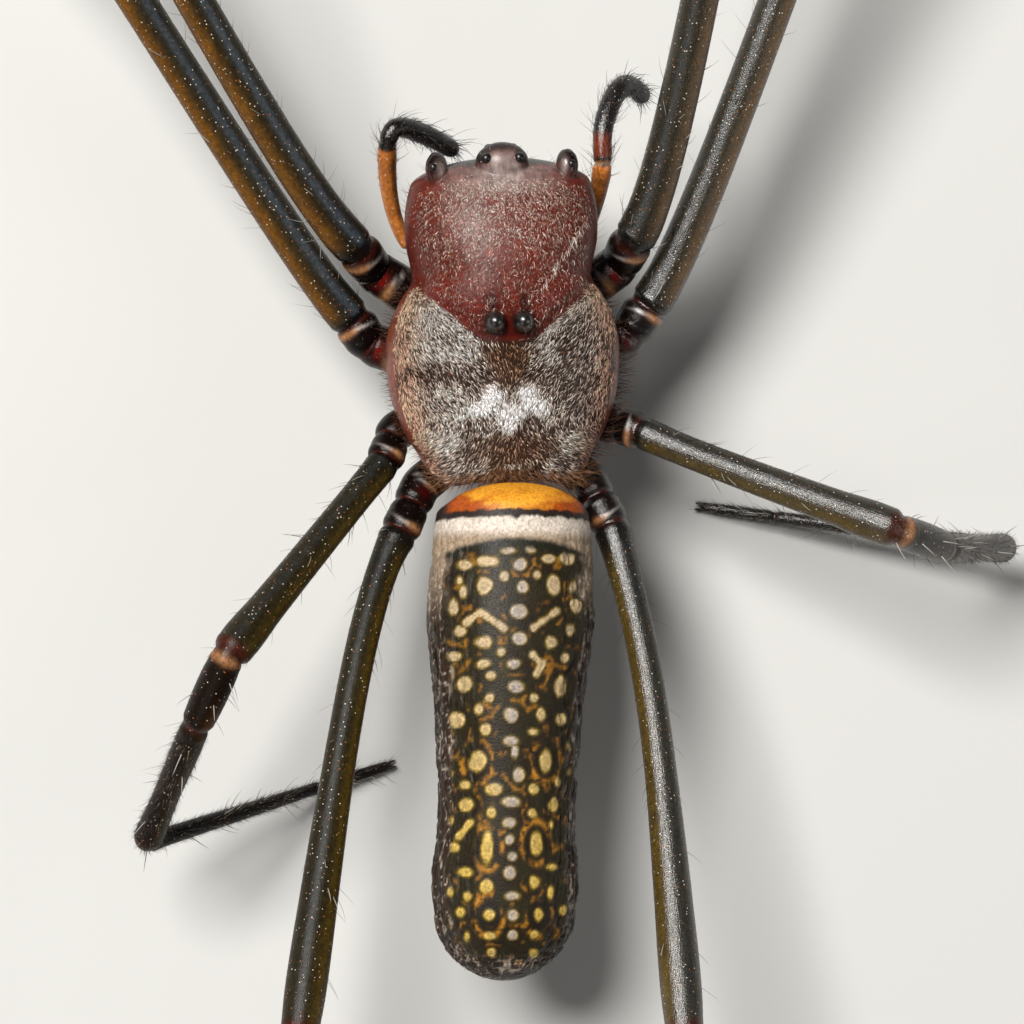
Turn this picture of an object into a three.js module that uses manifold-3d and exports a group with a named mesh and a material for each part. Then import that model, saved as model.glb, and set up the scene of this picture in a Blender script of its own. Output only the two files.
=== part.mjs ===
// An adult female golden silk orb weaver at life size, standing still, in millimetres with +Z up.
// The head points along -Y, the animal's own left is +X, and its feet stand on the plane z = 0.
import * as THREE from "three";
import { mergeVertices } from "three/addons/utils/BufferGeometryUtils.js";
import Module from "manifold-3d";

const wasm = await Module();
wasm.setup();

// Clear space between neighbours, and the finer space round an eye or a horn in its socket
const gap = 0.3;
const socketGap = 0.07;

// Front part of the body: the carapace ends at the waist, near y = 0, and the head leans to the left.
// The carapace's two rear corners reach back beside the waist.
const headTurn = 2;
const carapaceFront = -12.45;
const carapaceRear = -0.25;
const rearCorner = { x: 2.3, width: 0.8, reach: 0.35, from: -2.5, to: -0.4 };

// Abdomen, a long cylinder that starts close behind the carapace. Its upper front bulges forwards
// above the carapace, and it leans a little: its front to the right and its rear to the left.
const abdomenFront = 0.1;
const abdomenRear = 18.62;
const brow = { reach: 0.5, low: 8.8, high: 10, fade: 1.2 };
const abdomenShift = (y) => -0.2 + 0.019 * y;

// Half width, top and underside of the carapace by distance along the body
const carapaceWidth = throughPoints([
  [-12.45, 3.05], [-11.6, 3.42], [-10.5, 3.68], [-9.3, 3.68], [-8.4, 3.5], [-7.9, 3.48],
  [-7.2, 3.95], [-6.2, 4.38], [-5.2, 4.52], [-3.6, 4.36], [-2.2, 3.85], [-1.1, 3.2], [0, 2.75],
]);
const carapaceTop = throughPoints([
  [-12.45, 11.35], [-11.6, 11.85], [-10.2, 12.3], [-8.4, 12.5], [-7, 12.4], [-5.9, 12.05],
  [-4.8, 11.4], [-3.6, 10.9], [-2.2, 10.45], [-1, 10.0], [0, 9.6],
]);
const carapaceEdge = throughPoints([
  [-12.45, 9.9], [-10, 9.7], [-8.6, 9.2], [-7.4, 8.3], [-6, 7.95], [-3, 7.85], [0, 8.3],
]);
const carapaceUnder = throughPoints([
  [-12.45, 8.7], [-10.5, 8.4], [-8.6, 7.9], [-7.4, 7.5], [-3, 7.45], [0, 7.6],
]);

// Half width, top and underside of the abdomen by distance along the body
const abdomenWidth = throughPoints([
  [0, 2.72], [1.5, 2.98], [3.5, 3.15], [5.2, 3.2], [7.6, 2.93], [9.5, 2.78], [11.8, 2.66],
  [13.2, 2.7], [14.5, 2.84], [16, 2.76], [18.7, 2.6],
]);
const abdomenTop = throughPoints([
  [0, 11.05], [2, 11.35], [5, 11.7], [8, 11.6], [11, 11.35], [14, 11.1], [17, 10.7], [18.7, 10.4],
]);
const abdomenUnder = throughPoints([
  [0, 5.3], [3, 4.9], [8, 4.75], [12, 4.8], [16, 5.2], [18.7, 5.8],
]);

// Eyes: place in the prosoma's frame for the left one of each pair, and radius
const eyes = {
  front_middle: { place: [0.47, -12.74, 11.02], radius: 0.21 },
  rear_middle: { place: [0.62, -12.24, 11.84], radius: 0.23 },
  front_side: { place: [2.5, -12.42, 11.05], radius: 0.17 },
  rear_side: { place: [2.6, -11.98, 11.44], radius: 0.17 },
};
const eyeMound = { place: [0, -12.12, 11.25], size: [1.0, 0.76, 0.76] };
const sideTubercle = { place: [2.46, -11.98, 11.1], size: [0.42, 0.62, 0.46] };

// The pair of upright horns on the back of the head
const horn = { x: 0.53, y: -6.03, radius: 0.38, height: 0.75, sunk: 0.4 };

// Leg segments by pair: their lengths, and the leg's thickest radius
const legSizes = {
  1: { femur: 21, patella: 4.6, tibia: 17, metatarsus: 20, tarsus: 4.6, thick: 0.77 },
  2: { femur: 19.3, patella: 4.3, tibia: 14, metatarsus: 18, tarsus: 4.2, thick: 0.77 },
  3: { femur: 10.9, patella: 3.2, tibia: 6.4, metatarsus: 9.2, tarsus: 3, thick: 0.67 },
  4: { femur: 20, patella: 3.7, tibia: 11.5, metatarsus: 16, tarsus: 3.6, thick: 0.8 },
};

// Each leg's stance: where its femur starts, then each segment's heading and rise in degrees.
// A heading is counted from straight ahead outwards, and the foot's slope follows from the floor.
// A femur bulges towards larger headings, or smaller ones below zero, most at the share `at`.
const stances = [
  {
    pair: 1, side: 1, start: [5.7, -9.11, 8], bulge: 0.7, at: 0.12,
    femur: [33.6, 22], patella: [33, 0], tibia: [28, -16], foot: 22,
  },
  {
    pair: 1, side: -1, start: [-4.78, -9.53, 8], bulge: 0.8, at: 0.08,
    femur: [11.6, 22], patella: [14, 0], tibia: [11, -16], foot: 8,
  },
  {
    pair: 2, side: 1, start: [5.84, -6.57, 6.5], bulge: 0.4, at: 0.08,
    femur: [34.9, 14], patella: [42, 0], tibia: [48, -12], foot: 44,
  },
  {
    pair: 2, side: -1, start: [-5.53, -7.21, 6.5], bulge: 0.6, at: 0.08,
    femur: [21.2, 14], patella: [27, 0], tibia: [33, -12], foot: 30,
  },
  {
    pair: 3, side: 1, start: [4.65, -1.04, 7.2], bulge: 0, at: 0.15,
    femur: [141.2, 28.4], patella: [155.8, -27], tibia: [157.4, -42], foot: -72.6,
  },
  {
    pair: 3, side: -1, start: [-5.18, -2.28, 7.2], bulge: 0.15, at: 0.15,
    femur: [112.8, 20.7], patella: [104.7, -47], tibia: [85, -60], foot: -81.6,
  },
  {
    pair: 4, side: 1, start: [4.09, 1.68, 7.2], bulge: -0.9, at: 0.15,
    femur: [168.3, 14], patella: [169, -8], tibia: [172, -20], foot: 174,
  },
  {
    pair: 4, side: -1, start: [-4.06, 1.38, 7.2], bulge: -0.8, at: 0.3,
    femur: [173.2, 14], patella: [172, -8], tibia: [172, -20], foot: 174,
  },
];

// Where each leg's coxa leaves the sternum and where it ends, for a left leg in the prosoma's frame
const coxae = {
  1: { root: [2.45, -7.1, 6.1], end: [4.75, -8.6, 6.75], radius: 0.86 },
  2: { root: [2.6, -5.05, 6.05], end: [5.0, -5.85, 6.15], radius: 0.86 },
  3: { root: [2.5, -3.05, 6.05], end: [4.1, -2.5, 6.35], radius: 0.74 },
  4: { root: [1.85, -1.35, 6.05], end: [3.2, -0.35, 6.45], radius: 0.78 },
};

// The second handle of a femur's curve, the slope of the last foot segment and the radius at its tip
const femurHandle = 0.42;
const tarsusDroop = 12;
const tarsusTip = 0.24;

// Spines of the legs: how many stand on a segment, over which share of it, and how long they are
const spines = {
  femur: { count: 5, from: 0.12, to: 0.94, length: 1.1 },
  patella: { count: 2, from: 0.4, to: 0.85, length: 1.3 },
  tibia: { count: 5, from: 0.12, to: 0.92, length: 1.4 },
  foot: { count: 5, from: 0.06, to: 0.62, length: 1.3 },
};
const spineRoot = 0.25;
const spineSunk = 0.22;
const spineLean = 18;

// The sector round a leg in which its spines stand, in degrees: 0 is its front or inner side and 90 up
const spineSector = { 1: [0, 80], 2: [100, 180], 3: [0, 180], 4: [0, 180] };

// Palps: base, knee, wrist, crest of the bent end and tip, and how far the femur swings outwards
const palps = {
  left: {
    base: [3.7, -9.35, 6.7], knee: [4.64, -13.05, 9.5],
    wrist: [4.3, -13.6, 9.5], crest: [3.3, -13.48, 8.7], tip: [1.92, -12.94, 7.5], swing: 0.65,
  },
  right: {
    base: [-2.9, -9.6, 6.6], knee: [-3.58, -12.34, 8.9],
    wrist: [-3.65, -14.0, 8.95], crest: [-4.42, -15.45, 8.2], tip: [-5.4, -15.15, 6.6], swing: 0.35,
  },
};

const colours = {
  carapace: 0x45150f, horn: 0x0c0908, eye: 0x050505, sternum: 0x3a1a10,
  abdomen: 0x4a4427, pedicel: 0x5b2a16, femur: 0x4a3d1a, patella: 0x33240f, tibia: 0x2c1f10,
  foot: 0x1c1412, hip: 0x2a0d08, palp: 0x9a5a20, palpEnd: 0x15100e, chelicera: 0x1a0c0a,
};

const upward = new THREE.Vector3(0, 0, 1);
const backward = new THREE.Vector3(0, 1, 0);

// A smooth curve through pairs of place and value
function throughPoints(pairs) {
  const places = pairs.map(([place]) => place);
  const values = pairs.map(([, value]) => value);
  const curve = new THREE.CubicInterpolant(places, values, 1);
  return (place) => curve.evaluate(place)[0];
}

// 0 at the tip of a rounded end and 1 once the distance from the tip passes its reach
function roundEnd(distance, reach) {
  const short = 1 - Math.min(Math.max(distance / reach, 0), 1);
  return Math.sqrt(1 - short * short);
}

// The same sequence of numbers between 0 and 1 for the same seed
function seeded(seed) {
  let state = seed;
  return () => {
    state = (state * 1664525 + 1013904223) % 4294967296;
    return state / 4294967296;
  };
}

const signedPower = (value, power) => Math.sign(value) * Math.abs(value) ** power;

// A geometry as a solid for joining and cutting
function solidOf(geometry) {
  const bare = geometry.clone();
  bare.deleteAttribute("normal");
  bare.deleteAttribute("uv");
  const merged = mergeVertices(bare, 1e-5);
  return new wasm.Manifold(
    new wasm.Mesh({
      numProp: 3,
      vertProperties: merged.attributes.position.array,
      triVerts: new Uint32Array(merged.index.array),
    }),
  );
}

// The largest closed surface of a solid, as a geometry
function geometryOf(solid) {
  const pieces = solid.decompose().sort((a, b) => b.volume() - a.volume());
  const mesh = pieces[0].getMesh();
  const geometry = new THREE.BufferGeometry();
  geometry.setAttribute("position", new THREE.BufferAttribute(mesh.vertProperties, 3));
  geometry.setIndex(new THREE.BufferAttribute(mesh.triVerts, 1));
  return geometry;
}

// A closed shell bent from a sphere: shape(along, around) gives a point, along running 0 to 1
function shell(shape, sides, rings) {
  const geometry = new THREE.SphereGeometry(1, sides, rings);
  const { position, uv } = geometry.attributes;
  for (let i = 0; i < position.count; i++) {
    const around = (uv.getX(i) % 1) * 2 * Math.PI;
    const point = shape(1 - uv.getY(i), around);
    position.setXYZ(i, point.x, point.y, point.z);
  }
  return geometry;
}

// A closed tube along a curve. Each end face can be turned to lie square to a given direction.
function tube(path, radiusAt, sides, rings, { startFace, endFace, reference = upward } = {}) {
  const geometry = new THREE.CylinderGeometry(1, 1, 1, sides, rings);
  const spot = geometry.attributes.position;
  for (let i = 0; i < spot.count; i++) {
    const along = THREE.MathUtils.clamp(spot.getY(i) + 0.5, 0, 1);
    const centre = path.getPoint(along);
    const tangent = path.getTangent(along);
    const across = new THREE.Vector3().crossVectors(tangent, reference).normalize();
    const up = new THREE.Vector3().crossVectors(across, tangent);
    const offset = across.multiplyScalar(spot.getX(i)).addScaledVector(up, spot.getZ(i));
    offset.multiplyScalar(radiusAt(along));
    const face = along === 0 ? startFace : along === 1 ? endFace : null;
    if (face) offset.addScaledVector(tangent, -offset.dot(face) / tangent.dot(face));
    spot.setXYZ(i, centre.x + offset.x, centre.y + offset.y, centre.z + offset.z);
  }
  return geometry;
}

// Adds spines to a tube: each is a slim cone sunk in the surface that leans towards the foot
function withSpines(solid, path, radiusAt, kind, stance, random) {
  const { count, from, to, length } = spines[kind];
  const [low, high] = spineSector[stance.pair];
  let result = solid;
  for (let i = 0; i < count; i++) {
    const along = THREE.MathUtils.lerp(from, to, (i + 0.3 + 0.4 * random()) / count);
    const share = (i % 2 ? 0.72 : 0) + 0.28 * random();
    const around = THREE.MathUtils.degToRad(THREE.MathUtils.lerp(low, high, share));
    const tangent = path.getTangent(along);
    const across = new THREE.Vector3().crossVectors(tangent, upward).normalize();
    const up = new THREE.Vector3().crossVectors(across, tangent);
    const outward = across.multiplyScalar(stance.side * Math.cos(around));
    outward.addScaledVector(up, Math.sin(around));
    const lean = Math.tan(THREE.MathUtils.degToRad(spineLean));
    const direction = outward.clone().addScaledVector(tangent, lean).normalize();
    const tall = length * (0.8 + 0.4 * random()) + spineSunk;
    const turn = new THREE.Quaternion().setFromUnitVectors(new THREE.Vector3(0, 1, 0), direction);
    const cone = new THREE.ConeGeometry(spineRoot, tall, 5, 1)
      .translate(0, tall / 2, 0)
      .applyQuaternion(turn);
    const sunk = path.getPoint(along).addScaledVector(outward, radiusAt(along) - spineSunk);
    result = result.add(solidOf(cone.translate(...sunk.toArray())));
  }
  return result;
}

// An ellipsoid given by its centre and three half sizes
function ellipsoid(place, size, sides = 14, rings = 10) {
  return new THREE.SphereGeometry(1, sides, rings).scale(...size).translate(...place);
}

const root = new THREE.Group();
const prosoma = new THREE.Group();
prosoma.rotation.z = THREE.MathUtils.degToRad(headTurn);
root.add(prosoma);

// A named mesh whose own origin is put at one of its points
function addMesh(parent, name, geometry, colour, roughness, anchor = [0, 0, 0]) {
  const placed = geometry.clone().translate(-anchor[0], -anchor[1], -anchor[2]);
  const material = new THREE.MeshStandardMaterial({ color: colour, roughness, metalness: 0 });
  const mesh = new THREE.Mesh(placed, material);
  mesh.name = name;
  mesh.position.set(...anchor);
  parent.add(mesh);
}

const mirrored = ([x, y, z], side) => [side * x, y, z];
const sideName = (side) => (side > 0 ? "left" : "right");
const vector = (place) => new THREE.Vector3(...place);

// A point of the prosoma's frame in the frame of the whole animal
const turned = (place) => vector(place).applyAxisAngle(upward, prosoma.rotation.z);

// Carapace: high red head with bulging cheeks, a V groove behind it and a low wide thorax
const groove = { y: -5.4, flat: 0.95, soft: 0.3, slope: 0.9, depth: 0.34, width: 0.5 };

function carapaceSurface(along, around) {
  const y = THREE.MathUtils.lerp(carapaceFront, carapaceRear, (1 - Math.cos(Math.PI * along)) / 2);
  const ends = roundEnd(y - carapaceFront, 1.0) * roundEnd(carapaceRear - y, 0.8);
  const x = carapaceWidth(y) * ends * signedPower(Math.cos(around), 0.86);
  const rise = Math.sin(around);
  const edge = carapaceEdge(y);
  const reach = rise > 0 ? carapaceTop(y) - edge : edge - carapaceUnder(y);
  const fullness = rise > 0 ? 0.95 : 0.5;
  let z = edge + reach * ends * signedPower(rise, fullness);
  if (rise > 0) {
    const outwards = Math.abs(x) - groove.flat;
    const arm = (outwards + Math.hypot(outwards, groove.soft)) / 2;
    const away = y - groove.y + groove.slope * arm;
    z -= groove.depth * Math.exp(-((away / groove.width) ** 2)) * Math.min(1, Math.abs(x)) * rise;
  }
  const corner = rearCorner.reach * THREE.MathUtils.smoothstep(y, rearCorner.from, rearCorner.to)
    * Math.exp(-(((Math.abs(x) - rearCorner.x) / rearCorner.width) ** 2));
  return new THREE.Vector3(x, y + corner, z);
}

function buildCarapace() {
  let solid = solidOf(shell(carapaceSurface, 36, 30));
  solid = solid.add(solidOf(ellipsoid(eyeMound.place, eyeMound.size, 14, 8)));
  for (const side of [1, -1]) {
    solid = solid.add(solidOf(ellipsoid(mirrored(sideTubercle.place, side), sideTubercle.size, 8, 6)));
  }
  for (const side of [1, -1]) {
    for (const [name, eye] of Object.entries(eyes)) {
      const place = mirrored(eye.place, side);
      const ball = (radius) => new THREE.SphereGeometry(radius, 8, 6).translate(...place);
      solid = solid.subtract(solidOf(ball(eye.radius + socketGap)));
      addMesh(prosoma, `eye_${name}_${sideName(side)}`, ball(eye.radius), colours.eye, 0.05, place);
    }
    const top = carapaceTop(horn.y);
    const socket = new THREE.CylinderGeometry(horn.radius + socketGap, horn.radius + socketGap, 2, 10)
      .rotateX(Math.PI / 2)
      .translate(side * horn.x, horn.y, top - horn.sunk + 1 - socketGap);
    solid = solid.subtract(solidOf(socket));
    const profile = [
      [0, -horn.sunk / horn.height], [1, -horn.sunk / horn.height], [1, 0], [0.9, 0.2], [0.6, 0.65],
      [0.3, 0.92], [0, 1],
    ].map(([r, h]) => new THREE.Vector2(r * horn.radius, horn.sunk + h * horn.height));
    const cone = new THREE.LatheGeometry(profile, 10).rotateX(Math.PI / 2);
    const foot = [side * horn.x, horn.y, top - horn.sunk];
    addMesh(prosoma, `horn_${sideName(side)}`, cone.translate(...foot), colours.horn, 0.15, foot);
  }
  addMesh(prosoma, "carapace", geometryOf(solid), colours.carapace, 0.55);
}

// Sternum with the labium and the two endites in front of it
const sternumWidth = throughPoints([[-8.4, 1.4], [-7, 2.0], [-5, 2.2], [-3, 2.0], [-1.3, 1.2]]);

function buildSternum() {
  const front = -8.4;
  const rear = -1.3;
  const surface = (along, around) => {
    const y = THREE.MathUtils.lerp(front, rear, (1 - Math.cos(Math.PI * along)) / 2);
    const ends = roundEnd(y - front, 0.9) * roundEnd(rear - y, 0.8);
    const x = sternumWidth(y) * ends * signedPower(Math.cos(around), 0.8);
    return new THREE.Vector3(x, y, 6.1 + 1.05 * ends * signedPower(Math.sin(around), 0.8));
  };
  let solid = solidOf(shell(surface, 14, 10));
  for (const side of [1, -1]) {
    solid = solid.add(solidOf(ellipsoid([side * 0.95, -8.7, 5.9], [0.78, 1.0, 0.85], 8, 6)));
  }
  solid = solid.add(solidOf(ellipsoid([0, -8.4, 5.3], [0.6, 0.8, 0.4], 8, 6)));
  addMesh(prosoma, "sternum", geometryOf(solid), colours.sternum, 0.5);
}

function buildPedicel() {
  const path = new THREE.LineCurve3(new THREE.Vector3(0, -0.98, 6.7), new THREE.Vector3(0, -0.12, 6.85));
  addMesh(root, "pedicel", tube(path, () => 0.46, 10, 2), colours.pedicel, 0.5, [0, -0.5, 6.8]);
}

// Abdomen with the six spinnerets under its rear end
function buildAbdomen() {
  const surface = (along, around) => {
    const y = THREE.MathUtils.lerp(abdomenFront, abdomenRear, (1 - Math.cos(Math.PI * along)) / 2);
    const ends = roundEnd(y - abdomenFront, 0.9) * roundEnd(abdomenRear - y, 2.6);
    const x = abdomenWidth(y) * ends * signedPower(Math.cos(around), 0.92);
    const middle = (abdomenTop(y) + abdomenUnder(y)) / 2;
    const half = (abdomenTop(y) - abdomenUnder(y)) / 2;
    const z = middle + half * ends * signedPower(Math.sin(around), 0.95);
    const forwards = brow.reach * THREE.MathUtils.smoothstep(z, brow.low, brow.high)
      * Math.exp((abdomenFront - y) / brow.fade);
    return new THREE.Vector3(x + abdomenShift(y), y - forwards, z);
  };
  let solid = solidOf(shell(surface, 24, 20));
  const rows = [
    { y: 15.2, x: 0.62, length: 1.1, radius: 0.42, lean: 0.15 },
    { y: 15.85, x: 0.25, length: 0.8, radius: 0.25, lean: 0.3 },
    { y: 16.5, x: 0.6, length: 1.0, radius: 0.38, lean: 0.5 },
  ];
  for (const row of rows) {
    for (const side of [1, -1]) {
      const middle = abdomenShift(row.y);
      const from = new THREE.Vector3(middle + side * row.x, row.y, 5.7);
      const to = new THREE.Vector3(middle + side * row.x * 0.8, row.y + row.lean, 5.0 - row.length);
      const radiusAt = (t) => row.radius * (1 - 0.55 * t * t);
      const cone = tube(new THREE.LineCurve3(from, to), radiusAt, 7, 2, { reference: backward });
      solid = solid.add(solidOf(cone));
    }
  }
  addMesh(root, "abdomen", geometryOf(solid), colours.abdomen, 0.5, [0, abdomenFront, 8]);
}

// Chelicera: a stout basal segment under the face, with the fang folded in at its tip
function buildChelicerae() {
  for (const side of [1, -1]) {
    const path = new THREE.QuadraticBezierCurve3(
      new THREE.Vector3(side * 1.28, -11.05, 7.9),
      new THREE.Vector3(side * 1.4, -11.75, 6.2),
      new THREE.Vector3(side * 1.15, -11.2, 4.35),
    );
    const radius = (t) => 1.16 * (0.72 + 0.28 * Math.sin(Math.PI * Math.min(1, 0.25 + 0.7 * t)))
      * roundEnd(t + 0.06, 0.2) * roundEnd(1.05 - t, 0.3);
    let solid = solidOf(tube(path, radius, 12, 7, { reference: backward }));
    const fangPath = new THREE.QuadraticBezierCurve3(
      new THREE.Vector3(side * 1.4, -11.25, 4.65),
      new THREE.Vector3(side * 1.15, -11.0, 3.75),
      new THREE.Vector3(side * 0.4, -10.8, 4.15),
    );
    const fang = tube(fangPath, (t) => 0.34 * (1 - 0.8 * t), 6, 4, { reference: backward });
    solid = solid.add(solidOf(fang));
    const name = `chelicera_${sideName(side)}`;
    addMesh(prosoma, name, geometryOf(solid), colours.chelicera, 0.3, [side * 1.2, -11.1, 8]);
  }
}

// Palp: an amber femur that stands beside the head, and a dark hairy end that bends down
function buildPalps() {
  for (const [name, palp] of Object.entries(palps)) {
    const knee = vector(palp.knee);
    const base = vector(palp.base);
    const wrist = vector(palp.wrist);
    const crest = vector(palp.crest);
    const tip = vector(palp.tip);
    const bend = new THREE.Vector3().subVectors(knee, base).normalize()
      .add(new THREE.Vector3().subVectors(wrist, knee).normalize()).normalize();
    const upperEnd = knee.clone().addScaledVector(bend, -gap / 2);
    const lowerStart = knee.clone().addScaledVector(bend, gap / 2);
    const outward = new THREE.Vector3(Math.sign(knee.x) * palp.swing, -0.1, -0.35);
    const middle = base.clone().lerp(upperEnd, 0.35).add(outward);
    const upper = new THREE.QuadraticBezierCurve3(base, middle, upperEnd);
    const upperRadius = (t) => 0.27 + 0.14 * t - 0.36 * Math.max(0, t - 0.85);
    const upperTube = tube(upper, upperRadius, 8, 6, { endFace: bend });
    addMesh(root, `palp_upper_${name}`, upperTube, colours.palp, 0.4, palp.base);
    const lower = new THREE.CatmullRomCurve3([lowerStart, wrist, crest, tip]);
    const lowerRadius = (t) => (0.36 + 0.05 * Math.sin(Math.PI * t)) * roundEnd(1.04 - t, 0.2);
    const lowerTube = tube(lower, lowerRadius, 8, 9, { startFace: bend });
    addMesh(root, `palp_lower_${name}`, lowerTube, colours.palpEnd, 0.6, palp.knee);
  }
}

// The unit direction of a leg segment from its heading and rise
function aim(side, [heading, rise]) {
  const h = THREE.MathUtils.degToRad(heading);
  const r = THREE.MathUtils.degToRad(rise);
  return new THREE.Vector3(side * Math.sin(h) * Math.cos(r), -Math.cos(h) * Math.cos(r), Math.sin(r));
}

// A femur's middle line: two handles pull its curve towards larger or smaller headings
function femurPath(from, to, stance) {
  const heading = THREE.MathUtils.degToRad(stance.femur[0]);
  const sideways = new THREE.Vector3(stance.side * Math.cos(heading), Math.sin(heading), 0);
  const handle = (share) => from.clone().lerp(to, share)
    .addScaledVector(sideways, stance.bulge * (1 - share) / (1 - stance.at));
  return new THREE.CubicBezierCurve3(from, handle(stance.at), handle(femurHandle), to);
}

// Radius along each segment as a share of the leg's thickest radius: femora flare at their base,
// and the rear ones are slimmer in the middle
const frontFemur = throughPoints([
  [0, 0.95], [0.06, 1.07], [0.2, 1.03], [0.5, 0.98], [0.8, 0.94], [0.95, 0.95], [1, 0.86],
]);
const shapes = {
  femur: {
    1: frontFemur,
    2: frontFemur,
    3: throughPoints([
      [0, 0.93], [0.08, 0.96], [0.3, 0.93], [0.6, 0.97], [0.85, 1.06], [0.95, 1.18], [1, 1.06],
    ]),
    4: throughPoints([
      [0, 0.92], [0.05, 0.86], [0.14, 0.78], [0.35, 0.77], [0.62, 0.8], [0.82, 0.93], [0.94, 1], [1, 0.88],
    ]),
  },
  patella: throughPoints([[0, 0.9], [0.3, 1.02], [0.8, 0.98], [1, 0.82]]),
  tibia: throughPoints([[0, 0.78], [0.15, 0.86], [0.6, 0.78], [0.92, 0.86], [1, 0.74]]),
  metatarsus: throughPoints([[0, 0.6], [0.12, 0.56], [0.6, 0.46], [0.8, 0.4], [1, 0.34]]),
  hip: throughPoints([[0, 0.8], [0.2, 1], [0.55, 1], [0.68, 0.93], [0.76, 0.95], [0.86, 1], [1, 0.92]]),
};

const floor = solidOf(new THREE.BoxGeometry(300, 300, 10).translate(0, 0, -5));

function buildLeg(stance) {
  const size = legSizes[stance.pair];
  const label = `${stance.pair}_${sideName(stance.side)}`;
  const points = [vector(stance.start)];
  const headings = { femur: stance.femur, patella: stance.patella, tibia: stance.tibia };
  for (const part of ["femur", "patella", "tibia"]) {
    points.push(points.at(-1).clone().addScaledVector(aim(stance.side, headings[part]), size[part]));
  }
  const tibiaEnd = points[3];
  const tarsusStart = tarsusTip + size.tarsus * Math.sin(THREE.MathUtils.degToRad(tarsusDroop));
  const slope = THREE.MathUtils.radToDeg(Math.asin((tarsusStart - tibiaEnd.z) / size.metatarsus));
  points.push(tibiaEnd.clone().addScaledVector(aim(stance.side, [stance.foot, slope]), size.metatarsus));
  const tarsusAim = aim(stance.side, [stance.foot, -tarsusDroop]);
  points.push(points[4].clone().addScaledVector(tarsusAim, size.tarsus));

  const coxa = coxae[stance.pair];
  const coxaRoot = turned(mirrored(coxa.root, stance.side));
  const coxaEnd = turned(mirrored(coxa.end, stance.side));
  const directions = points.slice(1).map((point, i) => point.clone().sub(points[i]).normalize());
  const leaving = [femurPath(points[0], points[1], stance).getTangent(0), ...directions.slice(1)];
  const arriving = [points[0].clone().sub(coxaEnd).normalize(), ...directions];
  const faces = leaving.slice(0, 4).map((way, i) => way.clone().add(arriving[i]).normalize());
  const before = (i) => points[i].clone()
    .addScaledVector(arriving[i], -gap / 2 / arriving[i].dot(faces[i]));
  const after = (i) => points[i].clone().addScaledVector(leaving[i], gap / 2 / leaving[i].dot(faces[i]));

  const hipPath = new THREE.CatmullRomCurve3(
    [coxaRoot, coxaRoot.clone().lerp(coxaEnd, 0.55), coxaEnd, before(0)]);
  const hip = tube(hipPath, (t) => coxa.radius * shapes.hip(t), 10, 7, { endFace: faces[0] });
  addMesh(root, `hip_${label}`, hip, colours.hip, 0.35, coxaRoot.toArray());

  const random = seeded(100 * stance.pair + 10 + stance.side);
  ["femur", "patella", "tibia"].forEach((part, i) => {
    const [from, to] = [after(i), before(i + 1)];
    const path = part === "femur" ? femurPath(from, to, stance) : new THREE.LineCurve3(from, to);
    const shape = part === "femur" ? shapes.femur[stance.pair] : shapes[part];
    const rings = { femur: 8, patella: 3, tibia: 4 }[part];
    const radiusAt = (t) => size.thick * shape(t);
    const ends = { startFace: faces[i], endFace: faces[i + 1] };
    const plain = solidOf(tube(path, radiusAt, 10, rings, ends));
    const piece = geometryOf(withSpines(plain, path, radiusAt, part, stance, random));
    addMesh(root, `${part}_${label}`, piece, colours[part], 0.35, points[i].toArray());
  });

  const footPath = new THREE.CatmullRomCurve3(
    [after(3), points[3].clone().lerp(points[4], 0.5), points[4], points[5]], false, "centripetal");
  const footRadius = (t) => size.thick * shapes.metatarsus(t);
  const plainFoot = solidOf(tube(footPath, footRadius, 8, 9, { startFace: faces[3] }));
  const foot = withSpines(plainFoot, footPath, footRadius, "foot", stance, random).subtract(floor);
  addMesh(root, `foot_${label}`, geometryOf(foot), colours.foot, 0.5, points[3].toArray());
}

buildCarapace();
buildSternum();
buildPedicel();
buildAbdomen();
buildChelicerae();
buildPalps();
stances.forEach(buildLeg);

// The origin is put under the middle of the whole animal, on the floor
const box = new THREE.Box3().setFromObject(root);
const centre = box.getCenter(new THREE.Vector3());
root.position.set(-centre.x, -centre.y, -box.min.z);
const animal = new THREE.Group();
animal.add(root);

export default animal;
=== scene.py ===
import bpy
import numpy as np
from mathutils import Matrix, Vector


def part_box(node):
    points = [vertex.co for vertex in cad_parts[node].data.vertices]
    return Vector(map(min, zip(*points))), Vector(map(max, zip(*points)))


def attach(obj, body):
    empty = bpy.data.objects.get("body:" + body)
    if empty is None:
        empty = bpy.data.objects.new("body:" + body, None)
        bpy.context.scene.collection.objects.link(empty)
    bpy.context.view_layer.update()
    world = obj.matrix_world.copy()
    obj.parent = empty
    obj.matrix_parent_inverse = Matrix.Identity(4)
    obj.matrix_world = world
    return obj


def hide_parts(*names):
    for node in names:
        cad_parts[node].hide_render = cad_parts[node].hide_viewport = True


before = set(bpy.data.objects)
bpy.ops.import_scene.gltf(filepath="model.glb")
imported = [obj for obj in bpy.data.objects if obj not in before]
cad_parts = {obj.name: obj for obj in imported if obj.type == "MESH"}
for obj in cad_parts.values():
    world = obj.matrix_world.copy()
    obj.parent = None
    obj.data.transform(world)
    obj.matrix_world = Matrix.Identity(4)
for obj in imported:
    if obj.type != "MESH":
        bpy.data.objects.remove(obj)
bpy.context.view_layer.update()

# A female golden silk orb weaver standing on a pale floor. Shapes are worked out in millimetres round
# its waist: x runs to the animal's left, y to its rear and z up from the floor.
headTurn = np.radians(2)
hornSpot = (0.53, -6.03)


# Turns points of the head part's own frame by the angle that the head leans to the left
def turnHead(points):
    x, y, z = np.moveaxis(np.asarray(points, float), -1, 0)
    cos, sin = np.cos(headTurn), np.sin(headTurn)
    return np.stack([x * cos - y * sin, x * sin + y * cos, z], axis=-1)


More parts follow.
